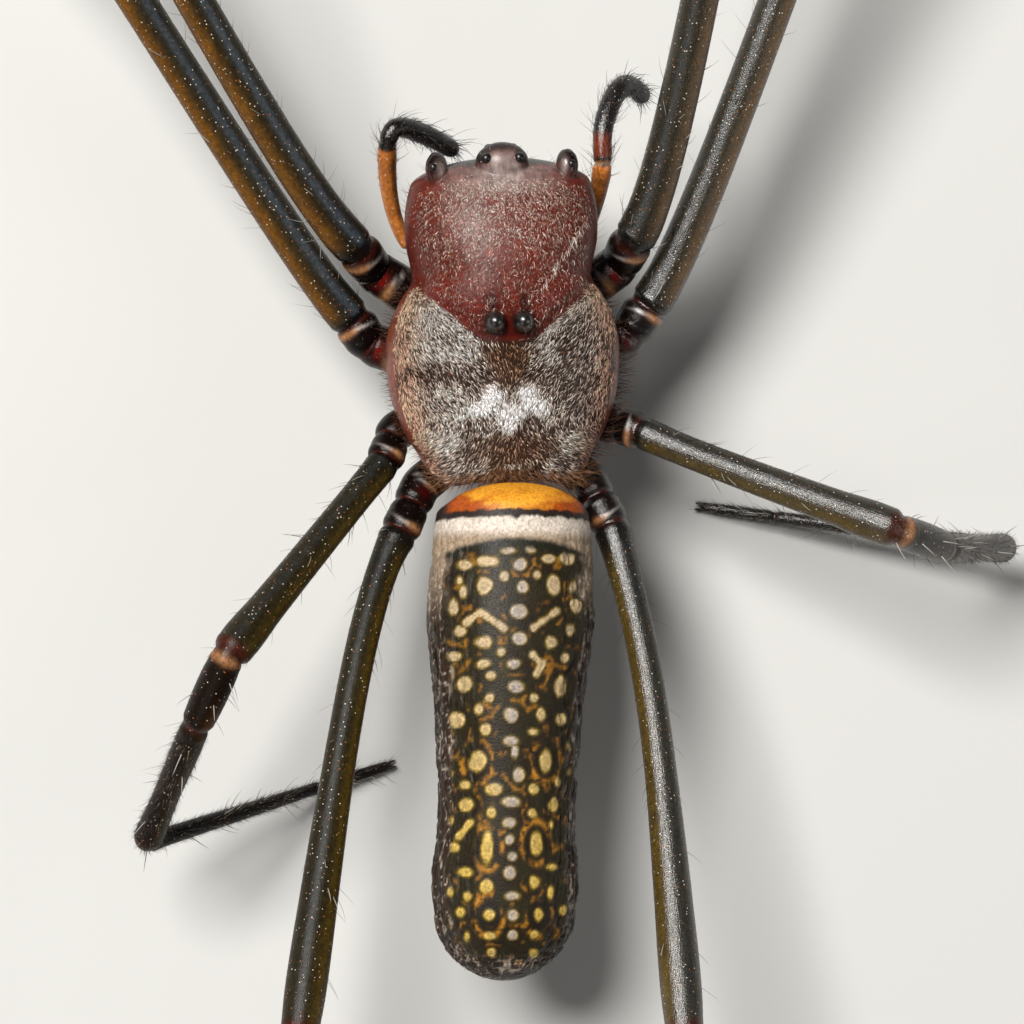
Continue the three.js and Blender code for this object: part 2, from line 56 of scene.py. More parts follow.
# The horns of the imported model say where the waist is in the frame
def findWaist():
    corners = [corner for side in ("left", "right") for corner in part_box("horn_" + side)]
    middle = np.mean([[corner.x, corner.y, 0] for corner in corners], axis=0) * 1000
    expected = turnHead((0, hornSpot[1], 0))
    return middle - expected * (1, 1, 0)


waist = findWaist()
print("waist of the packed model at", np.round(waist, 3), "mm")


# Numbers to shapes

# sRGB hex to linear light: the square-law toe below 0.04045 and the 2.4 power above it
def linear(hexCode):
    channels = np.array([int(hexCode[i:i + 2], 16) for i in (1, 3, 5)]) / 255
    return np.where(channels <= 0.04045, channels / 12.92, ((channels + 0.055) / 1.055) ** 2.4)


# 0 below `start`, 1 above `end`, with a smooth S between; start may be the larger one
def ease(value, start, end):
    share = np.clip((value - start) / (end - start), 0, 1)
    return share * share * (3 - 2 * share)


# Two tones or arrays of tones blended by a share for each point
def blendTone(first, second, share):
    share = np.asarray(share)[..., None]
    return first * (1 - share) + second * share


# A smooth curve through (place, value) pairs: cubic pieces whose slope at each pair is the slope
# between its two neighbours, with no bend at the ends
def through(pairs):
    places, values = np.array(pairs, float).T
    slopes = np.zeros(len(places))
    slopes[1:-1] = (values[2:] - values[:-2]) / (places[2:] - places[:-2])
    slopes[0] = 1.5 * (values[1] - values[0]) / (places[1] - places[0]) - 0.5 * slopes[1]
    slopes[-1] = 1.5 * (values[-1] - values[-2]) / (places[-1] - places[-2]) - 0.5 * slopes[-2]

    def curve(place):
        place = np.asarray(place, float)
        i = np.clip(np.searchsorted(places, place, side="right") - 1, 0, len(places) - 2)
        step = places[i + 1] - places[i]
        t = np.clip((place - places[i]) / step, 0, 1)
        rise = (3 - 2 * t) * t * t
        return (values[i] * (1 - rise) + values[i + 1] * rise
                + step * t * (1 - t) * ((1 - t) * slopes[i] - t * slopes[i + 1]))

    return curve


# 0 at the tip of a rounded end, 1 once the distance passes the reach: a quarter circle between
def roundEnd(distance, reach):
    short = 1 - np.clip(distance / reach, 0, 1)
    return np.sqrt(np.maximum(1 - short * short, 0))


# A value to a power, keeping its sign
def signedPower(value, power):
    return np.sign(value) * np.abs(value) ** power


# Lumpy noise from -1 to 1: a hashed number at each corner of a grid of that size, blended smoothly.
# The odd numbers only scatter the corners' hashes.
def lumps(points, size, seed):
    scaled = np.asarray(points, float) / size
    cell = np.floor(scaled).astype(np.int64)
    part = scaled - cell
    part = part * part * (3 - 2 * part)
    total = np.zeros(len(points))
    for corner in np.ndindex(2, 2, 2):
        key = (cell + corner) @ np.array([73856093, 19349663, 83492791]) + seed * 40503
        key = (key ^ (key >> 13)) * 1274126177 & 0x7FFFFFFF
        key = (key ^ (key >> 11)) * 1103515245 & 0x7FFFFFFF
        weight = np.prod(np.where(corner, part, 1 - part), axis=1)
        total += weight * key / 0x7FFFFFFF
    return total * 2 - 1


# Vectors divided by their own lengths
def unit(vectors):
    return vectors / np.maximum(np.linalg.norm(vectors, axis=-1, keepdims=True), 1e-9)


# Volume inside a mesh by the sum of its corner tetrahedra: below zero where faces point inwards
def volumeOf(points, faces):
    total = 0
    for group in faces:
        for k in range(1, group.shape[1] - 1):
            a, b, c = points[group[:, 0]], points[group[:, k]], points[group[:, k + 1]]
            total += np.einsum("ij,ij->", a, np.cross(b, c)) / 6
    return total


# One mesh from points in millimetres and groups of faces; it rides with the animal. `tone` is the
# colour at each point, `gloss` how polished it is there from 0 to 1, and `brush` a place in
# millimetres along which fine streaks run.
def makePiece(name, points, faces, material, stands, tone, bakeUv=None, gloss=0,
              brush=None):
    if volumeOf(points, faces) < 0:
        faces = [group[:, ::-1] for group in faces]
    corners = np.concatenate([group.ravel() for group in faces])
    sizes = np.concatenate([np.full(len(group), group.shape[1]) for group in faces])
    mesh = bpy.data.meshes.new(name)
    mesh.vertices.add(len(points))
    mesh.vertices.foreach_set("co", ((points + waist) * 0.001).astype(np.float32).ravel())
    mesh.loops.add(len(corners))
    mesh.loops.foreach_set("vertex_index", corners.astype(np.int32))
    mesh.polygons.add(len(sizes))
    mesh.polygons.foreach_set("loop_start", (np.cumsum(sizes) - sizes).astype(np.int32))
    mesh.update(calc_edges=True)
    mesh.polygons.foreach_set("use_smooth", np.ones(len(sizes), bool))
    colour = np.zeros((len(points), 4), np.float32)
    colour[:, :3] = np.clip(tone, 0, 1)
    colour[:, 3] = np.clip(gloss, 0, 1)
    mesh.attributes.new("tone", "FLOAT_COLOR", "POINT").data.foreach_set("color", colour.ravel())
    if brush is not None:
        places = mesh.attributes.new("brush", "FLOAT_VECTOR", "POINT")
        places.data.foreach_set("vector", np.asarray(brush, np.float32).ravel())
    if bakeUv is not None:
        layer = mesh.uv_layers.new(name="OFBake")
        layer.data.foreach_set("uv", bakeUv[corners].astype(np.float32).ravel())
    mesh.materials.append(material)
    piece = bpy.data.objects.new(name, mesh)
    bpy.context.scene.collection.objects.link(piece)
    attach(piece, "root")
    if stands:
        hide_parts(*stands)


# Several sets of points and faces as one
def joinShapes(shapes):
    points, triangles, quads, start = [], [], [], 0
    for shapePoints, shapeFaces in shapes:
        points.append(shapePoints)
        for group in shapeFaces:
            (quads if group.shape[1] == 4 else triangles).append(group + start)
        start += len(shapePoints)
    faces = [np.concatenate(groups) for groups in (quads, triangles) if groups]
    return np.concatenate(points), faces


# Faces of a closed shell: rings of points between a first and a last pole point
def shellFaces(rings, sides):
    ring = 1 + np.arange(rings)[:, None] * sides + np.arange(sides)
    nextOne = np.roll(ring, -1, axis=1)
    quads = np.stack([ring[:-1], nextOne[:-1], nextOne[1:], ring[1:]], axis=-1).reshape(-1, 4)
    first = np.stack([np.zeros(sides, int), nextOne[0], ring[0]], axis=-1)
    last = np.stack([np.full(sides, 1 + rings * sides), ring[-1], nextOne[-1]], axis=-1)
    return [quads, np.concatenate([first, last])]


# A closed shell of surface(along, around). Rings gather at the two ends by a cosine where the
# surface asks for it, and `crowd` gathers the points of each ring on the upper side.
def closedShell(surface, rings, sides, crowd=0.0):
    along = np.arange(1, rings + 1) / (rings + 1)
    turn = 2 * np.pi * np.arange(sides) / sides
    around = turn + crowd * np.cos(turn)
    grid = np.meshgrid(along, around, indexing="ij")
    body = surface(grid[0].ravel(), grid[1].ravel())
    poles = surface(np.array([0.0, 1.0]), np.array([0.0, 0.0]))
    points = np.concatenate([poles[:1], body, poles[1:]])
    return points, shellFaces(rings, sides)


# A closed tube: rings of the given radii round a middle line, closed by a point at each end.
# Angle 0 lies across the line and 90 degrees is up.
def tubeShape(line, radii, sides, reference=(0, 0, 1)):
    across, up, _ = frameAlong(line, reference)
    turn = 2 * np.pi * np.arange(sides) / sides
    spread = across[:, None] * np.cos(turn)[:, None] + up[:, None] * np.sin(turn)[:, None]
    radii = np.broadcast_to(np.asarray(radii, float).reshape(len(line), -1), (len(line), sides))
    body = line[:, None] + spread * radii[..., None]
    points = np.concatenate([line[:1], body.reshape(-1, 3), line[-1:]])
    return points, shellFaces(len(line), sides)


# Directions across, up and forward at each point of a line
def frameAlong(line, reference=(0, 0, 1)):
    forward = unit(np.gradient(line, axis=0))
    across = unit(np.cross(forward, np.broadcast_to(reference, forward.shape)))
    return across, np.cross(across, forward), forward


# An ellipsoid as a closed shell, by latitude and longitude about the z axis
def ellipsoid(place, size, rings=20, sides=28):
    def surface(along, around):
        angle = np.pi * along
        ball = np.stack([np.sin(angle) * np.cos(around), np.sin(angle) * np.sin(around), np.cos(angle)], 1)
        return ball * size + place

    return closedShell(surface, rings, sides)


# Place, outward direction and area of the surface at each parameter pair, by small steps both ways
def readSurface(surface, along, around):
    small = 1e-4
    here = surface(along, around)
    down = (surface(np.minimum(along + small, 1), around) - here) / small
    turning = (surface(along, around + small) - here) / small
    out = np.cross(down, turning)
    area = np.linalg.norm(out, axis=1)
    out = unit(out)
    if np.einsum("ij,ij->", out, here - here.mean(axis=0)) < 0:
        out = -out
    return here, out, area


# Roots spread over a surface by its own area times a weight that says where hair grows. Each root
# is drawn from `pool` places; its unwrap is the place on the surface's own sheet of parameters.
def scatter(surface, count, weight, seed, aroundRange=(0, 2 * np.pi), pool=6):
    rng = np.random.default_rng(seed)
    along = rng.uniform(0.002, 0.998, count * pool)
    around = rng.uniform(*aroundRange, count * pool)
    here, out, area = readSurface(surface, along, around)
    chance = area * weight(here)
    pick = rng.choice(len(along), count, replace=False, p=chance / chance.sum())
    unwrap = np.stack([around / (2 * np.pi), along], axis=1)
    return here[pick], out[pick], unwrap[pick], rng


# Tufts as closed three-sided spikes. The middle line of each leaves the skin along `lie`, lifted by
# `rise` of its length, sinks back by `droop` and turns sideways by `curl`, both with the square of
# the way to the tip, and thins with the 0.7 power.
def tuftShapes(root, out, lie, length, width, rise, droop, curl, tone, unwrap, rings=2, sink=0.03):
    count = len(root)
    lie = unit(lie - out * np.einsum("ij,ij->i", lie, out)[:, None])
    side = np.cross(out, lie)
    length, width, rise, droop, curl = [np.broadcast_to(v, count)[:, None, None]
                                        for v in (length, width, rise, droop, curl)]
    t = np.linspace(0, 1, rings + 1)[None, :, None]
    line = (root[:, None] + lie[:, None] * length * t + side[:, None] * length * curl * t * t
            + out[:, None] * (length * (rise * t - droop * t * t) - sink * (1 - t)))
    angle = 2 * np.pi * np.arange(3) / 3 + np.pi / 2
    spread = (side[:, None] * np.cos(angle)[:, None] + out[:, None] * 0.7 * np.sin(angle)[:, None])
    radius = width / 2 * (1 - t[:, :-1]) ** 0.7
    body = line[:, :-1, None] + spread[:, None] * radius[..., None]
    points = np.concatenate([body.reshape(count, -1, 3), line[:, -1:]], axis=1)
    each = rings * 3 + 1
    ring = np.arange(rings)[:, None] * 3 + np.arange(3)
    nextOne = np.roll(ring, -1, axis=1)
    low = np.stack([ring[:-1], nextOne[:-1], nextOne[1:]], -1).reshape(-1, 3)
    high = np.stack([ring[:-1], nextOne[1:], ring[1:]], -1).reshape(-1, 3)
    tip = np.stack([ring[-1], nextOne[-1], np.full(3, each - 1)], -1)
    one = np.concatenate([ring[:1, ::-1], low, high, tip])
    faces = (np.arange(count)[:, None, None] * each + one).reshape(-1, 3)
    share = np.concatenate([np.repeat(t[0, :-1, 0], 3), [1.0]])
    # each hair is painted darker towards its root: painted shade near the skin
    colour = tone[:, None] * (0.72 + 0.4 * share)[:, None]
    patch = 0.0015 * np.stack([np.append(np.tile(np.cos(angle), rings), 0), 2 * share - 1], 1)
    uv = unwrap[:, None] + patch
    return points.reshape(-1, 3), [faces], colour.reshape(-1, 3), uv.reshape(-1, 2)


# One tone repeated for every point
def even(tone, points):
    return np.tile(tone, (len(points), 1))


# Named tones as linear colours
def tones(**codes):
    return {name: linear(code) for name, code in codes.items()}


# The camera of the picture: pixels for each millimetre at the height of focus, how many degrees it
# leans to the left and to the rear, and how many pixels its aim lies from the waist
camera = {"pixelsPerMm": 26.5, "focusHeight": 9.5, "distance": 210, "leanSide": 4, "leanRear": 3,
          "aimPixels": (-2, 25), "filmWidth": 36, "pictureWidth": 1024}


# The camera's right, up and back directions and its place: its aim plus the distance along back
def cameraFrame():
    side, rear = np.sin(np.radians([camera["leanSide"], camera["leanRear"]]))
    back = np.array([side, rear, np.sqrt(1 - side * side - rear * rear)])
    right = unit(np.cross(-back, (0, -1, 0)))
    aimSide, aimRear = (pixels / camera["pixelsPerMm"] for pixels in camera["aimPixels"])
    eye = np.array([aimSide, aimRear, camera["focusHeight"]]) + back * camera["distance"]
    return right, np.cross(back, right), back, eye


# Finishes

# Adds a node; `inputs` gives each socket a value or another node's output
def addNode(tree, kind, inputs=None, **settings):
    node = tree.nodes.new("ShaderNode" + kind)
    for key, value in settings.items():
        setattr(node, key, value)
    for key, value in (inputs or {}).items():
        if isinstance(value, bpy.types.NodeSocket):
            tree.links.new(value, node.inputs[key])
        else:
            node.inputs[key].default_value = value
    return node


# Moves a value from one range to another, held at both ends
def addRange(tree, value, fromMin, fromMax, toMin, toMax):
    node = addNode(tree, "MapRange", {"Value": value, "From Min": fromMin, "From Max": fromMax,
                                      "To Min": toMin, "To Max": toMax})
    return node.outputs[0]


# Two colours mixed by a share
def addMix(tree, share, first, second):
    return addNode(tree, "Mix", {0: share, 6: first, 7: second}, data_type="RGBA").outputs[2]


speckLook = {"spacing": 0.17, "radius": 0.027, "pale": "#d8cfc0", "rusty": "#a8622c"}
streakWidth = 0.04
polishedRoughness = 0.17


# A finish of the animal's own stuff. Its colour is the piece's own tone mottled by noise of
# `mottleSize` millimetres, with specks of pale dust where it has them. Its relief is noise of
# `grainSize` millimetres, drawn out along the leg where the piece carries its own brush places, and
# its roughness falls to the polished one where the tone's alpha, its gloss, is 1.
def makeFinish(name, roughness, ior=1.56, mottle=0.2, mottleSize=0.3, grain=0.06, grainSize=0.05,
               roughSpread=0.08, metallic=0.0, subsurface=0.0, specks=False, brushed=False):
    material = bpy.data.materials.new(name)
    material.use_nodes = True
    tree = material.node_tree
    tree.nodes.clear()
    place = addNode(tree, "TexCoord").outputs["Object"]
    tone = addNode(tree, "Attribute", attribute_name="tone")
    patch = addNode(tree, "TexNoise", {"Vector": place, "Scale": 1000 / mottleSize, "Detail": 3.0})
    light = addRange(tree, patch.outputs[0], 0.3, 0.7, 1 - mottle, 1 + mottle)
    colour = addNode(tree, "VectorMath", {0: tone.outputs["Color"], 1: light},
                     operation="MULTIPLY").outputs[0]
    fine = addNode(tree, "TexNoise", {"Vector": place, "Scale": 1000 / grainSize, "Detail": 2.0})
    relief = fine.outputs[0]
    if brushed:
        brush = addNode(tree, "Attribute", attribute_name="brush").outputs["Vector"]
        streak = addNode(tree, "TexNoise", {"Vector": brush, "Scale": 1 / streakWidth, "Detail": 2.0})
        relief = addNode(tree, "Math", {0: relief, 1: streak.outputs[0]}, operation="ADD").outputs[0]
    if specks:
        dust = addNode(tree, "TexVoronoi", {"Vector": place, "Scale": 1000 / speckLook["spacing"]})
        edge = speckLook["radius"] / speckLook["spacing"]
        mask = addRange(tree, dust.outputs["Distance"], 0.7 * edge, edge, 1.0, 0.0)
        dull = addRange(tree, tone.outputs["Alpha"], 0.0, 0.7, 1.0, 0.15)
        mask = addNode(tree, "Math", {0: mask, 1: dull}, operation="MULTIPLY").outputs[0]
        kind = addRange(tree, dust.outputs["Color"], 0.5, 0.6, 0.0, 1.0)
        dustTone = addMix(tree, kind, (*linear(speckLook["pale"]), 1), (*linear(speckLook["rusty"]), 1))
        colour = addMix(tree, mask, colour, dustTone)
    rough = addRange(tree, fine.outputs[0], 0.3, 0.7, roughness - roughSpread, roughness + roughSpread)
    rough = addRange(tree, tone.outputs["Alpha"], 0.0, 1.0, rough, polishedRoughness)
    bump = addNode(tree, "Bump", {"Height": relief, "Strength": grain, "Distance": grainSize * 0.001})
    shader = addNode(tree, "BsdfPrincipled", {"Base Color": colour, "IOR": ior, "Roughness": rough,
                                              "Normal": bump.outputs[0], "Metallic": metallic,
                                              "Subsurface Weight": subsurface,
                                              "Subsurface Scale": 0.0004})
    addNode(tree, "OutputMaterial", {"Surface": shader.outputs[0]})
    return material


# Hardened chitin of the carapace: a leathery half gloss with fine pits between the hair roots
carapaceFinish = makeFinish("carapaceChitin", 0.42, ior=1.4, mottle=0.35, mottleSize=0.3, grain=0.12,
                            grainSize=0.06, specks=True)
# Eye lenses are smooth and dark, and their highlight is small and soft
lensFinish = makeFinish("polishedLensChitin", 0.36, mottle=0.0, grain=0.0, roughSpread=0.02)
# Horns and jaws are near black with a broad silky highlight
hornFinish = makeFinish("smoothHornChitin", 0.33, ior=1.8, mottle=0.1, grain=0.04, roughSpread=0.03)
# Leg cuticle on the right: waxy, with one silky highlight along the top, grained by flat hair
legFinish = makeFinish("waxyLegChitin", 0.3, ior=1.65, mottle=0.3, mottleSize=0.14, grain=0.35,
                       grainSize=0.045, specks=True, brushed=True)
# The left legs are less waxy, so that the amber under their skin shows
amberLegFinish = makeFinish("amberLegChitin", 0.36, ior=1.26, mottle=0.35, mottleSize=0.14, grain=0.25,
                            grainSize=0.045, specks=True, brushed=True)
# Abdomen: soft folded skin whose creases glint, with silvery guanine lying under its spots
abdomenFinish = makeFinish("softAbdomenSkin", 0.5, ior=1.33, mottle=0.28, mottleSize=0.1, grain=0.25,
                           grainSize=0.07)
# Hairs are hollow chitin: most stay dark and the few that face the light glint like silver
silverHair = makeFinish("silverSetae", 0.38, mottle=0.0, grain=0.0, metallic=0.3)
darkHair = makeFinish("darkBristles", 0.3, mottle=0.0, grain=0.0)
membraneFinish = makeFinish("jointMembrane", 0.5, mottle=0.2, mottleSize=0.2, grain=0.1,
                            subsurface=0.1)


# Carapace

carapace = {
    "front": -12.45, "rear": -0.25,
    "width": [(-12.45, 3.05), (-11.6, 3.42), (-10.5, 3.68), (-9.3, 3.68), (-8.4, 3.5), (-7.9, 3.48),
              (-7.2, 3.95), (-6.2, 4.38), (-5.2, 4.52), (-3.6, 4.36), (-2.2, 3.85), (-1.1, 3.2),
              (0, 2.75)],
    "top": [(-12.45, 11.35), (-11.6, 11.85), (-10.2, 12.3), (-8.4, 12.5), (-7, 12.4), (-5.9, 12.05),
            (-4.8, 11.4), (-3.6, 10.9), (-2.2, 10.45), (-1, 10.0), (0, 9.6)],
    "edge": [(-12.45, 9.9), (-10, 9.7), (-8.6, 9.2), (-7.4, 8.3), (-6, 7.95), (-3, 7.85), (0, 8.3)],
    "under": [(-12.45, 8.7), (-10.5, 8.4), (-8.6, 7.9), (-7.4, 7.5), (-3, 7.45), (0, 7.6)],
    "coatDepth": 0.06, "grooveDepth": 0.3, "grooveWidth": 0.34,
    "groove": {"y": -5.4, "flat": 0.95, "soft": 0.3, "slope": 0.9},
    "corner": {"x": 2.3, "width": 0.8, "reach": 0.35, "from": -2.5, "to": -0.4},
    "mound": {"place": (0, -12.12, 11.25), "size": (1.0, 0.76, 0.76), "inner": (0, -11.9, 10.75)},
    "tubercle": {"place": (2.46, -11.98, 11.1), "size": (0.42, 0.62, 0.46),
                 "inner": (2.3, -11.7, 10.8)},
}
carapaceWidth = through(carapace["width"])
carapaceTop = through(carapace["top"])
carapaceEdge = through(carapace["edge"])
carapaceUnder = through(carapace["under"])


# How far a place lies behind the V groove between head and thorax. The V has a flat middle just
# behind the horns, and arms that rise forwards by `slope` for each step outwards.
def behindGroove(x, y):
    groove = carapace["groove"]
    outwards = np.abs(x) - groove["flat"]
    arm = (outwards + np.hypot(outwards, groove["soft"])) / 2
    return y - groove["y"] + groove["slope"] * arm


# Moves points outwards from an inner point until they clear an ellipsoid, with a soft edge
def pushOut(points, form, side=1):
    mirror = np.array([side, 1, 1])
    inner = np.array(form["inner"]) * mirror
    size = np.array(form["size"])
    way = (points - inner) / size
    start = (inner - np.array(form["place"]) * mirror) / size
    a = np.einsum("ij,ij->i", way, way)
    b = way @ start
    far = (-b + np.sqrt(b * b - a * (start @ start - 1))) / a
    share = (far + 1 + np.sqrt((far - 1) ** 2 + 0.006)) / 2
    near = np.exp(-np.einsum("ij,ij->i", way, way) / 6)
    return inner + (points - inner) * (1 + (share - 1) * np.minimum(1, near * 3))[:, None]


# Carapace: superellipse rings whose width, top and underside follow the four curves, rounded at
# both ends and reaching back at its two rear corners, with the eye mound, two side mounds and the
# V groove worked in
def carapaceSurface(along, around):
    y = carapace["front"] + (carapace["rear"] - carapace["front"]) * (1 - np.cos(np.pi * along)) / 2
    ends = roundEnd(y - carapace["front"], 1.0) * roundEnd(carapace["rear"] - y, 0.8)
    depth = carapace["coatDepth"]
    rise = np.sin(around)
    x = (carapaceWidth(y) - depth) * ends * signedPower(np.cos(around), 0.86)
    edge = carapaceEdge(y)
    reach = np.where(rise > 0, carapaceTop(y) - depth - edge, edge - carapaceUnder(y))
    z = edge + reach * ends * signedPower(rise, np.where(rise > 0, 0.95, 0.5))
    back = behindGroove(x, y)
    upper = np.clip(rise, 0, 1)
    spread = np.exp(-((back / carapace["grooveWidth"]) ** 2))
    z -= upper * carapace["grooveDepth"] * spread * ease(np.abs(x), 0.2, 1.6)
    # two shallow pits beside the white patch and faint ridges that run out over the thorax
    pit = np.exp(-((np.abs(x) - 0.75) ** 2 + (y + 3.95) ** 2 * 2) / 0.25)
    fan = np.cos(9 * np.arctan2(x, y + 6.2)) * ease(back, 0.6, 1.6) * ease(-y, 0.5, 1.4)
    z += upper * (0.045 * fan - 0.09 * pit)
    corner = carapace["corner"]
    away = (np.abs(x) - corner["x"]) / corner["width"]
    y = y + corner["reach"] * ease(y, corner["from"], corner["to"]) * np.exp(-away * away)
    points = np.stack([x, y, z], axis=1)
    points = pushOut(points, carapace["mound"])
    for side in (1, -1):
        points = pushOut(points, carapace["tubercle"], side)
    return points


# How high a place stands on the carapace: 0 at its rim and 1 along its middle line
def carapaceLift(points):
    edge = carapaceEdge(points[:, 1])
    return (points[:, 2] - edge) / (carapaceTop(points[:, 1]) - edge)


carapaceTones = tones(head="#5a1c10", deepRed="#620a04", cheek="#54180c", mound="#0a0606",
                      thorax="#2e1c13", margin="#6a2c12", notch="#8a6448", under="#2b130d",
                      sheen="#93827d")


# 1 on the smooth top of the middle eye mound, falling off towards its dark rim
def moundTop(points):
    x, y = points[:, 0], points[:, 1]
    return np.exp(-(x / 0.56) ** 4 - ((y + 11.98) / 0.5) ** 4)


# Where a grey sheen is painted on the bald front of the head, as painted highlight: between and behind the
# eyes
def paintedFrontSheen(points):
    x, y = points[:, 0], points[:, 1]
    strip = np.exp(-(x / 2.2) ** 6 - ((y + 11.4) / 0.55) ** 4) * (0.6 + 0.4 * np.exp(-(x / 0.9) ** 2))
    inner = np.exp(-((np.abs(x) - 2.32) / 0.13) ** 2 - ((y + 11.95) / 0.32) ** 2)
    return np.clip(strip + moundTop(points) + 0.9 * inner, 0, 1)


# The front, the horns' seat and the bald cheeks and rims are polished, the hairy parts are not
def carapaceGloss(points):
    x, y = points[:, 0], points[:, 1]
    outer = ease(np.abs(x) / carapaceWidth(y), 0.7, 0.9)
    front = ease(y, -11.2, -11.8)
    seat = np.exp(-(x / 1.2) ** 4 - ((y + 6.2) / 0.8) ** 4)
    tubercle = np.exp(-((np.abs(x) - 2.4) / 0.4) ** 4 - ((y + 12) / 0.6) ** 4)
    return np.clip(0.2 * outer + 0.4 * front + 0.5 * seat + 0.5 * tubercle, 0, 1)


# The red head with its black eye mounds, the dark thorax and its red-brown rim
def carapaceTone(points):
    x, y, z = points.T
    back = behindGroove(x, y)
    grainy = 0.5 + 0.5 * lumps(points, 0.25, 3)
    lift = carapaceLift(points)
    outer = np.abs(x) / carapaceWidth(y)
    head = blendTone(carapaceTones["head"], carapaceTones["deepRed"], ease(back, -2.2, -0.6) * grainy)
    head = blendTone(head, carapaceTones["cheek"], ease(outer, 0.66, 0.88))
    for spotX in (0.62, -0.88):
        spot = np.exp(-((x - spotX) ** 2 + (y + 8.6) ** 2) / 0.05)
        head = blendTone(head, carapaceTones["deepRed"] * 1.3, spot)
    tubercle = np.exp(-((np.abs(x) - 2.5) / 0.46) ** 4 - ((y + 12.1) / 0.62) ** 4)
    ring = np.exp(-((np.abs(x) - 0.88) / 0.2) ** 2 - ((y + 12.1) / 0.55) ** 4)
    front = ease(y + 0.12 * lumps(points, 0.12, 4), -11.88, -12.12) * (1 - 0.95 * moundTop(points))
    rim = np.maximum(np.maximum(0.95 * tubercle, 0.96 * front), 0.8 * ring)
    head = blendTone(head, carapaceTones["mound"], rim)
    # the painted grey sheen, a painted highlight with fine streaks, over the front of the head
    streaks = 0.8 + 0.3 * lumps(points * (1, 0.2, 0.4), 0.07, 5)
    head = blendTone(head, carapaceTones["sheen"] * streaks[:, None], 0.95 * paintedFrontSheen(points))
    drops = np.exp(-((np.abs(x) - 0.62) / 0.24) ** 2 - ((y + 6.75) / 0.5) ** 2)
    seat = np.exp(-((np.abs(x) - hornSpot[0]) / 0.5) ** 4 - ((y + 5.95) / 0.45) ** 4)
    head = blendTone(head, carapaceTones["mound"], np.clip(0.85 * drops + 0.9 * seat, 0, 1))
    thorax = blendTone(carapaceTones["thorax"], carapaceTones["margin"], ease(lift, 0.48, 0.3))
    thorax = blendTone(thorax, carapaceTones["sheen"], 0.7 * np.clip(patchField(whitePatches, x, y), 0, 1))
    # the bald notch at the rear is smooth brown skin, painted lighter as painted light where the lamps
    # hardly reach its steep slope
    rear = np.exp(-(x / 0.8) ** 4 - ((y + 0.5) / 0.26) ** 4)
    thorax = blendTone(thorax, carapaceTones["notch"], rear)
    tone = blendTone(head, thorax, ease(back, -0.15, 0.2))
    return blendTone(tone, carapaceTones["under"], ease(carapaceEdge(y) - z, 0.1, 0.5))


carapaceMesh = {"rings": 262, "sides": 336, "crowd": 0.45}


# The skin of the carapace, with its tone and gloss worked out place by place
def buildCarapace():
    points, faces = closedShell(carapaceSurface, **carapaceMesh)
    makePiece("carapace_skin", turnHead(points), faces, carapaceFinish,
              ["carapace"], carapaceTone(points), gloss=carapaceGloss(points))
    print("carapace skin", len(points), "points")


hairTones = tones(silver="#f2dfd0", bright="#ffffff", pink="#e0a688", dark="#36210f", brown="#6a3d1c",
                  fan="#c08a5c", headHair="#ffe6d4", headDim="#9a4e3a", fringe="#4e2f1c")

# Patches of the thorax coat in millimetres: distance to the left and from the waist, half width,
# half length and strength. They are partly the real lie of the silver hair and partly painted sheen
# where it shone: the silver hair gleams in some and leaves others dark.
silverAndSheenPatches = [
    (3.5, -6.75, 0.7, 0.75, 1.0), (-3.75, -6.9, 0.6, 0.9, 0.8), (3.35, -5.3, 0.6, 0.6, 0.6),
    (1.9, -5.0, 0.7, 0.4, 0.7), (-1.5, -4.9, 0.6, 0.45, 0.6), (-3.6, -4.4, 0.35, 1.0, 0.5),
    (2.5, -1.9, 0.9, 0.5, 0.5), (-2.25, -1.7, 0.7, 0.45, 0.5), (3.6, -3.2, 0.4, 0.8, 0.45),
    (1.7, -2.8, 0.4, 0.3, 0.5), (-1.8, -2.6, 0.4, 0.4, 0.3), (2.2, -3.6, 0.45, 0.25, 0.4),
    (2.9, -4.4, 0.9, 0.4, -0.4), (-2.8, -4.0, 0.9, 0.9, -0.4), (-2.35, -5.4, 0.6, 0.4, -0.35),
    (1.4, -1.5, 0.3, 0.6, -0.4), (-1.3, -1.9, 0.35, 0.6, -0.4), (1.2, -4.3, 0.5, 0.5, -0.3),
]
# The white patch in the middle, shaped like a W: two lobes in front, two arms and a tip behind
whitePatches = [
    (0.7, -3.42, 0.36, 0.34, 1.0), (-0.75, -3.45, 0.36, 0.34, 1.0), (1.1, -3.0, 0.4, 0.24, 0.9),
    (-1.1, -3.02, 0.4, 0.24, 0.9), (0.0, -2.8, 0.5, 0.36, 1.0), (-0.02, -2.35, 0.22, 0.26, 0.9),
]
# Brown hair in front of the white patch, and the fan behind it
brownPatches = [(0.0, -4.45, 0.7, 0.6, 1.0), (0.0, -5.0, 0.9, 0.35, 0.9), (-0.25, -1.5, 1.35, 0.5, 0.8)]
# Two dark tufts where the brown hair meets the white
darkPatches = [(0.38, -3.95, 0.12, 0.2, 1.0), (-0.7, -3.95, 0.12, 0.2, 1.0)]


# Adds up soft round patches: each falls off as the fourth power of the distance from its middle
def patchField(patches, x, y):
    field = np.zeros(len(x))
    for patchX, patchY, width, length, strength in patches:
        away = ((x - patchX) / width) ** 2 + ((y - patchY) / length) ** 2
        field += strength * np.exp(-(away ** 2) * 0.7)
    return field


# The lie of the thorax hair: backwards and inwards in front of the white patch, fanning out behind
def thoraxLie(points):
    x, y = points[:, 0], points[:, 1]
    fan = ease(y, -3.0, -1.6)
    sideways = -0.35 * x * (1 - fan) + 0.6 * x * fan
    swirl = 0.55 * lumps(points, 0.8, 12)
    return np.stack([sideways + swirl, np.ones(len(x)), np.zeros(len(x))], axis=1)


